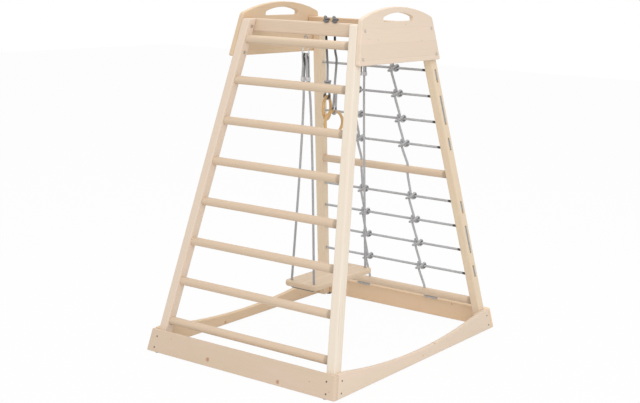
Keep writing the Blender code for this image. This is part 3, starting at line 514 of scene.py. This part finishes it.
def smoothed(points, bend):
    """A route with its corners rounded, each over at most the bend length on both sides."""
    route = [points[0]]
    for before, here, after in zip(points, points[1:], points[2:]):
        back, on = before - here, after - here
        first = here + back * min(0.5, bend / back.length)
        last = here + on * min(0.5, bend / on.length)
        for step in range(CORNER_STEPS + 1):
            share = step / CORNER_STEPS
            route.append(first * (1 - share) ** 2 + here * (2 * share * (1 - share)) + last * share * share)
    route.append(points[-1])
    kept = [route[0]]
    for before, here in zip(route, route[1:]):
        if (here - before).length > SHORTEST:
            kept.append(here)
    return kept


def frames_along(route, reached, stations):
    """A tube's centre and its two cross directions at each station, without twist."""
    segment, normal, before = 0, None, None
    for station in stations:
        while segment < len(route) - 2 and reached[segment + 1] < station:
            segment += 1
        share = (station - reached[segment]) / (reached[segment + 1] - reached[segment])
        along = (route[segment + 1] - route[segment]).normalized()
        if normal is None:
            normal = along.orthogonal().normalized()
        else:
            normal = before.rotation_difference(along) @ normal
            normal = (normal - along * normal.dot(along)).normalized()
        before = along
        yield route[segment].lerp(route[segment + 1], share), normal, along.cross(normal)


def end_share(station, length, radius, round_start, round_end):
    """How much of a tube's radius is left at a station near its rounded ends."""
    full = 1.0
    for distance, rounding in ((station, round_start), (length - station, round_end)):
        if distance < rounding * radius:
            full = min(full, math.sqrt(1 - (1 - distance / (rounding * radius)) ** 2))
    return full


def tube(
    name, points, radius, made,
    sides=14, bend=0.012, round_start=0.4, round_end=0.4, darkening=None, step=TUBE_STEP,
):
    """A round tube with closed, rounded ends; the roundings are in radii."""
    route = smoothed(points, bend)
    reached = [0.0]
    for before, here in zip(route, route[1:]):
        reached.append(reached[-1] + (here - before).length)
    length = reached[-1]
    edge = [radius * share for share in END_SHARES]
    plain = length - 2 * radius
    count = round(plain / step)
    stations = edge + [radius + plain * (index + 1) / (count + 1) for index in range(count)]
    stations += [length - part for part in reversed(edge)]

    shape = bmesh.new()
    layer = shape.loops.layers.uv.new("rope")
    loops = []
    for station, (centre, normal, side_way) in zip(stations, frames_along(route, reached, stations)):
        full = end_share(station, length, radius, round_start, round_end)
        ring = []
        for index in range(sides):
            angle = FULL_TURN * index / sides
            out = normal * math.cos(angle) + side_way * math.sin(angle)
            ring.append(shape.verts.new(centre + out * (radius * full)))
        loops.append(ring)
    for row, (near, far) in enumerate(zip(loops, loops[1:])):
        for index in range(sides):
            follow = (index + 1) % sides
            face = shape.faces.new((near[index], near[follow], far[follow], far[index]))
            corners = ((index, row), (index + 1, row), (index + 1, row + 1), (index, row + 1))
            for loop, (turn, at) in zip(face.loops, corners):
                loop[layer].uv = (turn / sides, stations[at])
    shape.faces.new(list(reversed(loops[0])))
    shape.faces.new(loops[-1])
    data = mesh_from(shape, name, [made])
    data.shade_smooth()
    if darkening:
        values = data.attributes.new("darkening", "FLOAT", "POINT")
        values.data.foreach_set("value", [darkening(vert.co) for vert in data.vertices])
    return new_object(name, data)


# Net: two ropes laced to and fro through the rear legs
NET_ROPE, UPRIGHT_ROPE = 0.009, 0.008
NET_FULL, UPRIGHT_FULL = 0.0096, 0.0092
NET_PITCH, NET_LEVELS, UPPER_TOP, LOWER_TOP = 0.097, 4, 1.014, 0.513
UPPER_LEVELS = [UPPER_TOP - NET_PITCH * step for step in range(NET_LEVELS)]
LOWER_LEVELS = [LOWER_TOP - NET_PITCH * step for step in range(NET_LEVELS)]
GROOVE_DEPTH, ROPE_END_TUCK, LACE_EASE = 0.008, 0.042, 0.3
FIRST_RUNG, NET_RUNG, RUNG_RADIUS = 0.111, 0.619, 0.015
RIGHT_END, LEFT_END = 0.020, 0.004
SHADE_IN_LEG, SHADE_AT_RIGHT, SHADE_AT_LEFT = 0.25, 0.85, 0.3


def net_rope_shade(place):
    """Painted shade where the ropes come up to the right leg, a little at the left one, and in the legs."""
    half = inner_half_width(place.z)
    if abs(place.x) > half:
        return SHADE_IN_LEG
    if place.x > half - RIGHT_END:
        return SHADE_AT_RIGHT
    return SHADE_AT_LEFT if place.x < LEFT_END - half else 0.0


def lacing(levels):
    """A rope that starts and ends in a groove of the right leg and crosses over at each level."""
    depth = GROOVE_DEPTH - NET_ROPE / 2 - ROPE_FIT
    bend = NET_ROPE / 2

    def at(x_side, height):
        return Vector((x_side * (HALF_X - LEAN_X * height - depth), leg_line(height), height))

    def corner(x_side, height, towards):
        inward = Vector((-x_side * bend, 0, 0))
        away = at(x_side, height + towards * bend)
        hole = at(x_side, height)
        eased = hole + inward * LACE_EASE + Vector((0, 0, towards * bend * LACE_EASE))
        return [away, eased, hole + inward]

    points = [at(RIGHT, levels[0] - ROPE_END_TUCK + NET_ROPE)]
    side = RIGHT
    for index, height in enumerate(levels):
        points += corner(side, height, -1 if index == 0 else 1)
        side = -side
        points += reversed(corner(side, height, 1 if index == len(levels) - 1 else -1))
    points.append(at(RIGHT, levels[-1] + ROPE_END_TUCK - NET_ROPE))
    return points


net_braid = braid("net_rope", NET_ROPE)
for name, levels in (("upper", UPPER_LEVELS), ("lower", LOWER_LEVELS)):
    piece = tube(f"laced_rope_{name}", lacing(levels), NET_FULL / 2, net_braid, darkening=net_rope_shade)
    stand_for(piece, f"net_rope_{name}", "tower")

# Net: two upright ropes with a clove hitch on every crossing
NET_COLUMN_SHARE = 0.375
HITCH_ENTRY, HITCH_HALF_WIDTH, HITCH_CROSSING = 0.0050, 0.0146, 0.0205
HITCH_START, HITCH_HALF_WAY, HITCH_SPREAD = math.radians(90), math.radians(450), math.radians(160)
HITCH_CROSSING_START, HITCH_BULGE = math.radians(421), math.radians(70)
HITCH_STEPS, HITCH_HAND, HITCH_GAP, HITCH_LEAD, HITCH_TALL = 60, -1, 0.0003, 0.016, 1.12
NET_END, NET_TAIL, END_TURN = 0.012, 0.060, 0.69


def column_x(z):
    return NET_COLUMN_SHARE * inner_half_width(z)


def ease(share):
    share = min(max(share, 0.0), 1.0)
    return share * share * (3 - 2 * share)


def clove_hitch(centre, hand):
    """A rope that comes down, goes twice round a horizontal rope and crosses over itself in front."""
    near = NET_FULL / 2 + UPRIGHT_FULL / 2 + HITCH_GAP
    tilt = Matrix.Rotation(math.atan(LEAN_Y), 3, "X")
    points = []
    for step in range(HITCH_STEPS + 1):
        angle = HITCH_START + 2 * (HITCH_HALF_WAY - HITCH_START) * step / HITCH_STEPS
        first_half = angle <= HITCH_HALF_WAY
        half = angle if first_half else 2 * HITCH_HALF_WAY - angle
        across = HITCH_ENTRY + (HITCH_HALF_WIDTH - HITCH_ENTRY) * ease((half - HITCH_START) / HITCH_SPREAD)
        if half > HITCH_CROSSING_START:
            way = (half - HITCH_CROSSING_START) / (HITCH_HALF_WAY - HITCH_CROSSING_START)
            across = HITCH_HALF_WIDTH * (1 - 2 * ease(way / 2))
        bulge = ease((half - (HITCH_HALF_WAY - HITCH_BULGE)) / HITCH_BULGE)
        radius = near + (HITCH_CROSSING - near) * bulge
        x = -across if first_half else across
        points.append(Vector((hand * x, -radius * math.sin(angle), HITCH_TALL * radius * math.cos(angle))))
    lead = Vector((-hand * HITCH_ENTRY, -near - HITCH_GAP / 2, HITCH_LEAD))
    points.insert(0, lead)
    points.append(Vector((-lead.x, lead.y, -lead.z)))
    return [centre + tilt @ point for point in points]


def turned_down(corner, rope, outward, length):
    """A rope that comes down out of a face at a corner point and lies along that face."""
    radius = rope * END_TURN
    drop = rope / 2 + ROPE_FIT
    slant = 1 - math.sqrt(0.5)
    start = Vector((0, 0, radius - drop))
    bend = outward * (radius * slant) + Vector((0, 0, radius * slant - drop))
    flat = [corner + outward * reach - Vector((0, 0, drop)) for reach in (radius, length)]
    return [corner + start, corner + bend, *flat]


def upright_rope(side):
    """A rope from its top hitch through the middle rung to its tail under the bottom rung."""
    def at(height):
        return Vector((side * column_x(height), leg_line(height), height))

    points = []
    for height in UPPER_LEVELS:
        points += clove_hitch(at(height), HITCH_HAND)
    points.insert(0, points[0] + Vector((0, -LEAN_Y * NET_END, NET_END)))
    clear = Vector((0, 0, RUNG_RADIUS + UPRIGHT_ROPE / 2))
    points += [at(NET_RUNG) + clear, at(NET_RUNG) - clear]
    for height in LOWER_LEVELS:
        points += clove_hitch(at(height), HITCH_HAND)
    points.append(at(FIRST_RUNG) + clear)
    under = at(FIRST_RUNG) - Vector((0, 0, RUNG_RADIUS))
    return points + turned_down(under, UPRIGHT_ROPE, Vector((side, 0, 0)), NET_TAIL)


FURROW_REACH, FURROW_DEEP, FURROW_CLEAR, FURROW_SHADE = 0.022, 0.0065, 0.0115, 0.75


def hitch_shade(place):
    """Painted shade between the lobes of a hitch, next to the rope that it grips."""
    for height in (*UPPER_LEVELS, *LOWER_LEVELS):
        aside, down = abs(abs(place.x) - column_x(height)), place.z - height
        if aside < FURROW_REACH and abs(down) < FURROW_REACH:
            away = math.hypot(abs(place.y) - abs(leg_line(height)), down)
            return FURROW_SHADE * min(max((FURROW_CLEAR - away) / (FURROW_CLEAR - FURROW_DEEP), 0.0), 1.0)
    return 0.0


upright_braid = braid("net_upright_rope", UPRIGHT_ROPE)
for side, side_name in SIDES:
    name = f"hitched_rope_{side_name}"
    piece = tube(name, upright_rope(side), UPRIGHT_FULL / 2, upright_braid, darkening=hitch_shade)
    stand_for(piece, f"net_rope_column_{side_name}", "tower")

# Swing ropes: over the hook's wire, down through the seat and back up
SWING_ROPE, SWING_FULL, WIRE_RADIUS = 0.008, 0.0084, 0.0025
STRAND_X, PAIR_DROP, SLEEVE_BOTTOM, TAIL_SHOWS, LOOP_STEPS = 0.0065, 0.020, 0.983, 0.002, 6
STRAND_BOW, BOW_SHAPE, BOW_ASIDE, BOW_STEPS = 0.006, 0.62, 0.35, 12
SEAT_TOP, SEAT_THICKNESS, SEAT_HOLE_X, SEAT_HOLE_Y = 0.253, 0.020, 0.050, 0.166
HOOK_Y = HALF_Y - LEG_Y - JOINT_GAP - BEAM_HALF - LEAN_Y * (LEG_TOP - BEAM_HEIGHT / 2)
HOOK_LOW = 1.0713
ROPE_PAIR = SWING_ROPE + 2 * ROPE_FIT
LOOP_RADIUS = WIRE_RADIUS + ROPE_FIT + SWING_ROPE / 2
UNDER_SEAT_SHADE, LOW_GREY, LOW_GREY_RISE, PAIR_SHADE = 0.55, 0.22, 0.45, 0.8
PAIR_MIDDLE, PAIR_FURROW = STRAND_X - 0.3 * SWING_ROPE, 0.15 * SWING_ROPE


def strand_line(end, side, height):
    """A strand bows towards the middle below its sleeve and comes back to its hole in the seat."""
    share = (HOOK_LOW - height) / (HOOK_LOW - SEAT_TOP)
    inner = HOOK_Y - LOOP_RADIUS
    below = (SLEEVE_BOTTOM - height) / (SLEEVE_BOTTOM - SEAT_TOP)
    bow = STRAND_BOW * math.sin(math.pi * max(below, 0.0) ** BOW_SHAPE)
    x = STRAND_X + (SEAT_HOLE_X - STRAND_X) * share
    y = inner + (SEAT_HOLE_Y - inner) * share - bow
    return Vector((side * x + bow * BOW_ASIDE, end * y, height))


def swing_shade_and_grey(place):
    """Painted shade under the seat and in the furrows of the doubled stretch, and a little greyer low down.
    """
    if place.z < SEAT_TOP - SEAT_THICKNESS:
        return UNDER_SEAT_SHADE
    if place.z < SLEEVE_BOTTOM:
        return LOW_GREY * max(0.0, 1.0 - (place.z - SEAT_TOP) / LOW_GREY_RISE)
    furrow = strand_line(1, 0, place.z).y + ROPE_PAIR / 2
    if abs(place.x) < PAIR_MIDDLE or abs(abs(place.y) - furrow) < PAIR_FURROW:
        return PAIR_SHADE
    return 0.0


def half_swing_rope(end, side):
    """Half of a swing rope, from its free end in the sleeve to its turn under the seat."""
    beside = Vector((0, end * ROPE_PAIR, 0))
    pair_top = HOOK_LOW - PAIR_DROP
    points = [strand_line(end, side, height) + beside for height in (SLEEVE_BOTTOM - TAIL_SHOWS, pair_top)]
    for step in range(LOOP_STEPS + 1):
        angle = math.pi * step / LOOP_STEPS
        across, z = HOOK_Y + LOOP_RADIUS * math.cos(angle), HOOK_LOW + LOOP_RADIUS * math.sin(angle)
        points.append(Vector((side * STRAND_X, end * across, z)))
    points.append(strand_line(end, side, pair_top))
    for step in range(BOW_STEPS):
        height = SLEEVE_BOTTOM + (SEAT_TOP - SLEEVE_BOTTOM) * step / BOW_STEPS
        points.append(strand_line(end, side, height))
    hole = Vector((side * SEAT_HOLE_X, end * SEAT_HOLE_Y, SEAT_TOP))
    points.append(hole + Vector((0, 0, ROPE_FIT)))
    corner = hole - Vector((0, 0, SEAT_THICKNESS))
    return points + turned_down(corner, SWING_ROPE, Vector((-side, 0, 0)), SEAT_HOLE_X)[:-1]


swing_braid = braid("swing_rope", SWING_ROPE)
for end, end_name in ENDS:
    points = half_swing_rope(end, LEFT) + list(reversed(half_swing_rope(end, RIGHT)))
    piece = tube(f"hanging_rope_{end_name}", points, SWING_FULL / 2, swing_braid, darkening=swing_shade_and_grey)
    stand_for(piece, f"swing_rope_{end_name}", "swing")

# Snap hooks: a pear of wire that is open on one side, and the gate on its pin that closes it
HOOK_TOP_RADIUS, HOOK_LOW_HALF, HOOK_LOW_RADIUS, HOOK_LENGTH = 0.0080, 0.0145, 0.0075, 0.056
HOOK_TOP_CENTRE, HOOK_ASIDE = HOOK_LENGTH - HOOK_TOP_RADIUS, HOOK_LOW_HALF - HOOK_LOW_RADIUS
HOOK_ARC_STEP, HOOK_BEND, HOOK_STEP = 15, 0.002, 0.001
GATE_LOW, GATE_HIGH, GATE_RADIUS, GATE_GAP = 0.016, 0.043, 0.0021, 0.0006
PIN_RADIUS, PIN_RISE, PIN_REACH, PIN_STEP = 0.0012, 0.002, 1.15 * WIRE_RADIUS, 0.0005


def hook_side(end, height):
    """A point on the hook's straight open side at a height above its lowest wire."""
    share = (height - HOOK_LOW_RADIUS) / (HOOK_TOP_CENTRE - HOOK_LOW_RADIUS)
    across = HOOK_LOW_HALF + (HOOK_TOP_RADIUS - HOOK_LOW_HALF) * share
    return Vector((across, end * HOOK_Y, HOOK_LOW + height))


def hook_arc(end, across, height, radius, first, last):
    """Points of a rounding of the hook, from one angle to another in degrees."""
    points = []
    for degrees in range(first, last + 1, HOOK_ARC_STEP):
        angle = math.radians(degrees)
        x, z = across + radius * math.cos(angle), HOOK_LOW + height + radius * math.sin(angle)
        points.append(Vector((x, end * HOOK_Y, z)))
    return points


bright_steel = zinc("bright_steel", (236, 236, 236), 0.14, 0.28)
for end, end_name in ENDS:
    points = [hook_side(end, GATE_HIGH)]
    points += hook_arc(end, 0, HOOK_TOP_CENTRE, HOOK_TOP_RADIUS, 0, 180)
    points += hook_arc(end, -HOOK_ASIDE, HOOK_LOW_RADIUS, HOOK_LOW_RADIUS, 180, 270)
    points += hook_arc(end, HOOK_ASIDE, HOOK_LOW_RADIUS, HOOK_LOW_RADIUS, 270, 360)
    points.append(hook_side(end, GATE_LOW))
    piece = tube(f"snap_hook_{end_name}", points, WIRE_RADIUS, bright_steel, bend=HOOK_BEND, step=HOOK_STEP)
    stand_for(piece, f"carabiner_{end_name}", "swing")
    points = [hook_side(end, GATE_LOW + GATE_GAP), hook_side(end, GATE_HIGH - GATE_GAP)]
    gate = tube(f"snap_gate_{end_name}", points, GATE_RADIUS, bright_steel, step=HOOK_STEP)
    carry(gate, "swing")
    place, reach = hook_side(end, GATE_LOW + PIN_RISE), Vector((0, PIN_REACH, 0))
    points = [place - reach, place + reach]
    pin = tube(f"snap_pin_{end_name}", points, PIN_RADIUS, hook_steel, sides=12, step=PIN_STEP)
    carry(pin, "swing")

# Ring ropes with their knots on top of the front beam
RING_ROPE, RING_RADIUS, RING_SECTION = 0.008, 0.0398, 0.0052
RING_HOLE_X, RING_X, RING_HEIGHT = (0.0865, 0.1225), (0.0965, 0.1280), (0.898, 0.849)
RING_TURN = (math.radians(17), math.radians(-14))
RING_ROPE_BENDS = (((0.004, 0.045), (0.009, 0.096)), ((0.003, 0.048), (0.011, 0.073), (0.008, 0.124)))
NOOSE_HEIGHT, NOOSE_TURNS, NOOSE_TAIL = (0.036, 0.068), 2, 0.010
NOOSE_IN, NOOSE_OUT, NOOSE_LIFT, NOOSE_ARC = 0.55, 0.82, 1.3, range(150, 391, 30)
STOPPER_GAP, STOPPER_TURNS, STOPPER_STEPS, STOPPER_TAIL = 0.0012, 1, 8, 0.014
STOPPER_START, STOPPER_SINK = math.radians(25), 0.1
STOPPER_BEND = ((0.36, -89, 0.16), (0.37, -81, 0.49), (0.85, -7, 0.66))
RING_AXIS = BEAM_BOTTOM - RING_ROPE / 2 - JOINT_GAP


def stopper(rope):
    """A rope that comes up out of a hole, goes once round itself and ends beside the knot."""
    coil = rope + STOPPER_GAP
    depth = STOPPER_TURNS * coil + rope / 2 + ROPE_FIT
    points = [Vector((0, 0, 0)), Vector((0, 0, depth - STOPPER_SINK * coil))]
    for share, degrees, drop in STOPPER_BEND:
        angle, out = math.radians(degrees), share * coil
        points.append(Vector((out * math.cos(angle), out * math.sin(angle), depth + drop * coil)))
    for step in range(STOPPER_TURNS * STOPPER_STEPS + 1):
        angle = STOPPER_START + FULL_TURN * step / STOPPER_STEPS
        height = depth - coil * step / STOPPER_STEPS
        points.append(Vector((coil * math.cos(angle), coil * math.sin(angle), height)))
    along = Vector((-math.sin(STOPPER_START), math.cos(STOPPER_START), 0))
    points.append(points[-1] + along * STOPPER_TAIL)
    return points


def noose(top, bends, ring_x, ring_top, rise, across):
    """A rope that comes down, goes round the ring and coils about itself above it."""
    reach = RING_SECTION + ROPE_FIT + RING_ROPE / 2
    coil = RING_ROPE + STOPPER_GAP
    start = ring_top + rise

    def beside_ring(out, up):
        return Vector((ring_x, 0, 0)) + across * (reach * out) + Vector((0, 0, ring_top + reach * up))

    points = [Vector((top.x, 0, top.z + RING_ROPE / 2))]
    points += [Vector((top.x + out, 0, top.z - drop)) for out, drop in bends]
    points.append(Vector((ring_x, 0, start + (NOOSE_TURNS + 1) * coil)))
    points.append(Vector((ring_x, 0, start)))
    points.append(beside_ring(-NOOSE_IN, NOOSE_LIFT))
    for degrees in NOOSE_ARC:
        angle = math.radians(degrees)
        points.append(beside_ring(math.cos(angle), math.sin(angle)))
    points.append(beside_ring(NOOSE_OUT, NOOSE_LIFT))
    sideways = Vector((-across.y, across.x, 0))
    for step in range(NOOSE_TURNS * STOPPER_STEPS):
        angle = FULL_TURN * step / STOPPER_STEPS
        offset = across * math.cos(angle) + sideways * math.sin(angle)
        height = start + coil * step / STOPPER_STEPS
        points.append(Vector((ring_x, 0, height)) + offset * coil)
    leave = sideways * math.cos(angle) - across * math.sin(angle)
    points.append(points[-1] + leave * NOOSE_TAIL)
    return [Vector((0, top.y, 0)) + point for point in points]


# Painted shade on the ring ropes
RING_ROPE_SHADE = (
    (1.222, 0.50), (1.192, 0.66), (1.146, 0.95), (1.125, 0.94),
    (1.112, 0.62), (1.06, 0.50), (1.0, 0.22), (0.95, 0.0),
)
CROWN_SHADE = ((0.0, 0.006, 0.8), (0.010, 0.0025, 0.6))


def ring_rope_shade(crown, reach, depth):
    """Painted shade, darkest under the beam, clear downwards and dark again round the ring's crown.

    RING_ROPE_SHADE holds heights with their darkness, and CROWN_SHADE how far above each ring's crown its
    dark stretch lies, how far it reaches and how dark it is.
    """
    def darkening(place):
        for (high, dark), (low, pale) in zip(RING_ROPE_SHADE, RING_ROPE_SHADE[1:]):
            if place.z > low:
                return pale + (dark - pale) * min((place.z - low) / (high - low), 1.0)
        return depth * min(max(2.0 - abs(place.z - crown) / reach, 0.0), 1.0)
    return darkening


ring_braid = braid("ring_rope", RING_ROPE)
spin = Matrix.Rotation(-math.pi / 2 - STOPPER_START, 3, "Z")
for index, hole in enumerate(RING_HOLE_X):
    number = index + 1
    knot = [Vector((hole, -HOOK_Y, LEG_TOP)) + spin @ point for point in stopper(RING_ROPE)]
    knot.insert(0, Vector((hole, -HOOK_Y, BEAM_BOTTOM)))
    crown_height = RING_HEIGHT[index] + RING_RADIUS
    above, shade_reach, shade_depth = CROWN_SHADE[index]
    darkening = ring_rope_shade(crown_height + above, shade_reach, shade_depth)
    piece = tube(f"tied_knot_{number}", knot, RING_ROPE / 2, ring_braid, darkening=darkening)
    stand_for(piece, f"ring_{number}_top_knot", "tower")
    normal = Vector((math.cos(RING_TURN[index]), math.sin(RING_TURN[index]), 0))
    top = Vector((hole, -HOOK_Y, RING_AXIS))
    hang = noose(top, RING_ROPE_BENDS[index], RING_X[index], crown_height, NOOSE_HEIGHT[index], normal)
    piece = tube(f"noosed_rope_{number}", hang, RING_ROPE / 2, ring_braid, round_start=1.0, darkening=darkening)
    stand_for(piece, f"ring_{number}_rope", f"ring_{number}_hang")


# Wooden rings, turned smooth and lacquered
RING_TONE = ((222, 182, 122), (166, 118, 62), (212, 168, 110))
RING_LEAN = (math.radians(-1.5), 0.0)
RING_STEPS, RING_SIDES = 96, 24


def ring_mesh(name, made):
    shape = bmesh.new()
    rows = []
    for step in range(RING_STEPS):
        round_angle = FULL_TURN * step / RING_STEPS
        row = []
        for index in range(RING_SIDES):
            angle = FULL_TURN * index / RING_SIDES
            radius = RING_RADIUS + RING_SECTION * math.cos(angle)
            y, z = radius * math.cos(round_angle), radius * math.sin(round_angle)
            row.append(shape.verts.new((RING_SECTION * math.sin(angle), y, z)))
        rows.append(row)
    for step in range(RING_STEPS):
        near, far = rows[step], rows[(step + 1) % RING_STEPS]
        for index in range(RING_SIDES):
            follow = (index + 1) % RING_SIDES
            shape.faces.new((near[index], far[index], far[follow], near[follow]))
    bmesh.ops.recalc_face_normals(shape, faces=shape.faces)
    data = mesh_from(shape, name, [made])
    data.shade_smooth()
    return data


for index, ring_x in enumerate(RING_X):
    number = index + 1
    looks = {"pith": (0.01, 0.04), "rings": 0.4}
    made = wood(f"ring_{number}_wood", (0, 0, 1), (0, 0, 0), RING_TONE, 40 + number, **looks)
    tree = made.node_tree
    feed(tree, tree.nodes["Principled BSDF"], {"Coat Weight": 0.5, "Coat Roughness": 0.15})
    piece = new_object(f"turned_ring_{number}", ring_mesh(f"turned_ring_{number}", made))
    crown = Vector((ring_x, -HOOK_Y, RING_HEIGHT[index] + RING_RADIUS))
    turn = Matrix.Rotation(RING_TURN[index], 4, "Z") @ Matrix.Rotation(RING_LEAN[index], 4, "Y")
    piece.matrix_world = Matrix.Translation(crown) @ turn @ Matrix.Translation((0, 0, -RING_RADIUS))
    stand_for(piece, f"ring_{number}", f"ring_{number}_hang")


# Base boards with their top edges cut square to their leaning faces
TOP_VERTICES, SHARP_EDGE = 0.03, math.radians(30)
END_BOARD_LOWER, SIDE_BOARD_LOWER = 0.0022, 0.0093


def square_board(where, lower, outer, lean, across):
    """A base board with a lower top edge that falls inwards.

    across is the axis through its thickness. The ends of a side board follow the legs outwards, each point in
    proportion to its distance from the middle.
    """
    node, name = f"base_board_{where}", f"square_board_{where}"
    data = nodes[node].data.copy()
    data.name = name
    if "custom_normal" in data.attributes:
        data.attributes.remove(data.attributes["custom_normal"])
    for vertex in data.vertices:
        place = vertex.co
        if place.z < TOP_VERTICES:
            continue
        depth = outer - lean * place.z - abs(place[across])
        drop = lower + depth * lean
        end_at = abs(place.y) if across == 1 else HALF_Y
        place.x += math.copysign(LEAN_X * drop, place.x)
        place.y *= 1 + LEAN_Y * drop / end_at
        place.z -= drop
    data.shade_smooth()
    data.set_sharp_from_angle(angle=SHARP_EDGE)
    stand_for(new_object(name, data), node, "tower")


for _, end_name in ENDS:
    square_board(end_name, END_BOARD_LOWER, HALF_Y + BOARD_OUTER, LEAN_Y, 1)
for _, side_name in SIDES:
    square_board(side_name, SIDE_BOARD_LOWER, HALF_X + PANEL_OUTER, LEAN_X, 0)

# Screws that hold the base boards to the legs
SCREW_RADIUS, SCREW_RISE, SCREW_LEVELS = 0.0032, 0.0005, (0.059, 0.020)
SCREW_BASE, SCREW_SHOULDER, SCREW_LIP, SCREW_STEPS = 0.00005, 0.5, 0.9, 24
CROSS_ARM, CROSS_HALF, CROSS_FLOOR = 0.0017, 0.00045, 0.0001
SPIN_SIDE, SPIN_END, SPIN_HEIGHT, SPIN_NEXT = 0.7, 1.9, 31, 0.4
screw_steel = zinc("screw_steel", (138, 132, 124), 0.38, 0.55)
# Painted shade: a dark matte floor in the cross recess
recess_shade = rubber("screw_recess_shade", (30, 28, 26))


def screw_mesh():
    """A flat countersunk head with a cross recess, its top facing +Z."""
    shape = bmesh.new()
    quarter = [(CROSS_ARM, CROSS_HALF), (CROSS_HALF, CROSS_HALF), (CROSS_HALF, CROSS_ARM)]
    cross = []
    for _ in range(4):
        cross += quarter
        quarter = [(-y, x) for x, y in quarter]

    def ring(radius, height):
        corners = []
        for step in range(SCREW_STEPS):
            angle = FULL_TURN * step / SCREW_STEPS
            corners.append(shape.verts.new((radius * math.cos(angle), radius * math.sin(angle), height)))
        return corners

    def wall(low, high):
        for index in range(len(low)):
            follow = (index + 1) % len(low)
            shape.faces.new((low[index], low[follow], high[follow], high[index]))

    base, shoulder = ring(SCREW_RADIUS, SCREW_BASE), ring(SCREW_RADIUS, SCREW_RISE * SCREW_SHOULDER)
    lip = ring(SCREW_RADIUS * SCREW_LIP, SCREW_RISE)
    wall(base, shoulder)
    wall(shoulder, lip)
    upper = [shape.verts.new((x, y, SCREW_RISE)) for x, y in cross]
    lower = [shape.verts.new((x, y, CROSS_FLOOR)) for x, y in cross]
    wall(upper, lower)
    rim = []
    for loop in (lip, upper):
        rim += [shape.edges.get(pair) for pair in zip(loop, loop[1:] + loop[:1])]
    bmesh.ops.triangle_fill(shape, edges=rim, use_beauty=True)
    # The recess floor takes the dark material, painted shade
    floor_face = shape.faces.new(lower)
    floor_face.material_index = 1
    bmesh.ops.recalc_face_normals(shape, faces=shape.faces)
    return mesh_from(shape, "board_screw", [screw_steel, recess_shade])


def place_screw(name, data, place, outward, spin):
    piece = new_object(name, data)
    turn = Vector(outward).normalized().to_track_quat("Z", "Y").to_matrix().to_4x4()
    piece.matrix_world = Matrix.Translation(place) @ turn @ Matrix.Rotation(spin, 4, "Z")
    carry(piece, "tower")


screw_head = screw_mesh()
for side, side_name in SIDES:
    for end, end_name in ENDS:
        for level, height in zip(("high", "low"), SCREW_LEVELS):
            spin = SPIN_SIDE * side + SPIN_END * end + SPIN_HEIGHT * height
            name = f"screw_{end_name}_board_{side_name}_{level}"
            x, y = HALF_X - LEG_X / 2 - LEAN_X * height, HALF_Y + BOARD_OUTER - LEAN_Y * height
            place_screw(name, screw_head, (side * x, end * y, height), (0, end, LEAN_Y), spin)
            name = f"screw_{side_name}_board_{end_name}_{level}"
            x, y = HALF_X + PANEL_OUTER - LEAN_X * height, leg_line(height)
            place_screw(name, screw_head, (side * x, end * y, height), (side, 0, LEAN_X), spin + SPIN_NEXT)


# Floor that shows white and keeps a soft shadow, and light as in a studio
REACH = 12.0
FLOOR_GREY, FLOOR_GLOW, WORLD_LIGHT = 0.82, 0.95, 0.74
LAMPS = {"key": ((3.2, -2.9, 3.4), 3.0, 80.0), "top": ((-0.6, 0.4, 3.6), 2.4, 30.0)}
LAMP_AIM = Vector((0, 0, 0.5))


def seen(tree):
    """1 for what the camera, mirrors or glass see, 0 for light that falls on things."""
    path = add(tree, "ShaderNodeLightPath").outputs
    seen_directly = math_node(tree, "MAXIMUM", path["Is Camera Ray"], path["Is Glossy Ray"])
    return math_node(tree, "MAXIMUM", seen_directly, path["Is Transmission Ray"])


made, tree, shader = start_material("floor_white")
floor_colour = (FLOOR_GREY, FLOOR_GREY, FLOOR_GREY, 1.0)
feed(tree, shader, {"Base Color": floor_colour, "Roughness": 1.0, "Specular IOR Level": 0.0})
glow = add(tree, "ShaderNodeEmission", {"Color": (1, 1, 1, 1), "Strength": 1.0})
share = times(tree, seen(tree), FLOOR_GLOW)
blend = add(tree, "ShaderNodeMixShader", {0: share, 1: shader.outputs[0], 2: glow.outputs[0]})
feed(tree, tree.nodes["Material Output"], {"Surface": blend.outputs[0]})

floor_mesh = bpy.data.meshes.new("floor")
corners = [(-REACH, -REACH, 0), (REACH, -REACH, 0), (REACH, REACH, 0), (-REACH, REACH, 0)]
floor_mesh.from_pydata(corners, [], [(0, 1, 2, 3)])
floor_mesh.materials.append(made)
floor = new_object("floor", floor_mesh)

world = bpy.data.worlds.new("studio")
bpy.context.scene.world = world
world.use_nodes = True
tree = world.node_tree
light = span(tree, seen(tree), 0.0, 1.0, WORLD_LIGHT, 1.0)
feed(tree, tree.nodes["Background"], {"Color": (1, 1, 1, 1), "Strength": light})

for name, (place, size, power) in LAMPS.items():
    lamp_data = bpy.data.lights.new(name, "AREA")
    lamp_data.size = size
    lamp_data.energy = power
    lamp = new_object(name, lamp_data)
    lamp.location = place
    lamp.rotation_euler = (LAMP_AIM - Vector(place)).to_track_quat("-Z", "Y").to_euler()
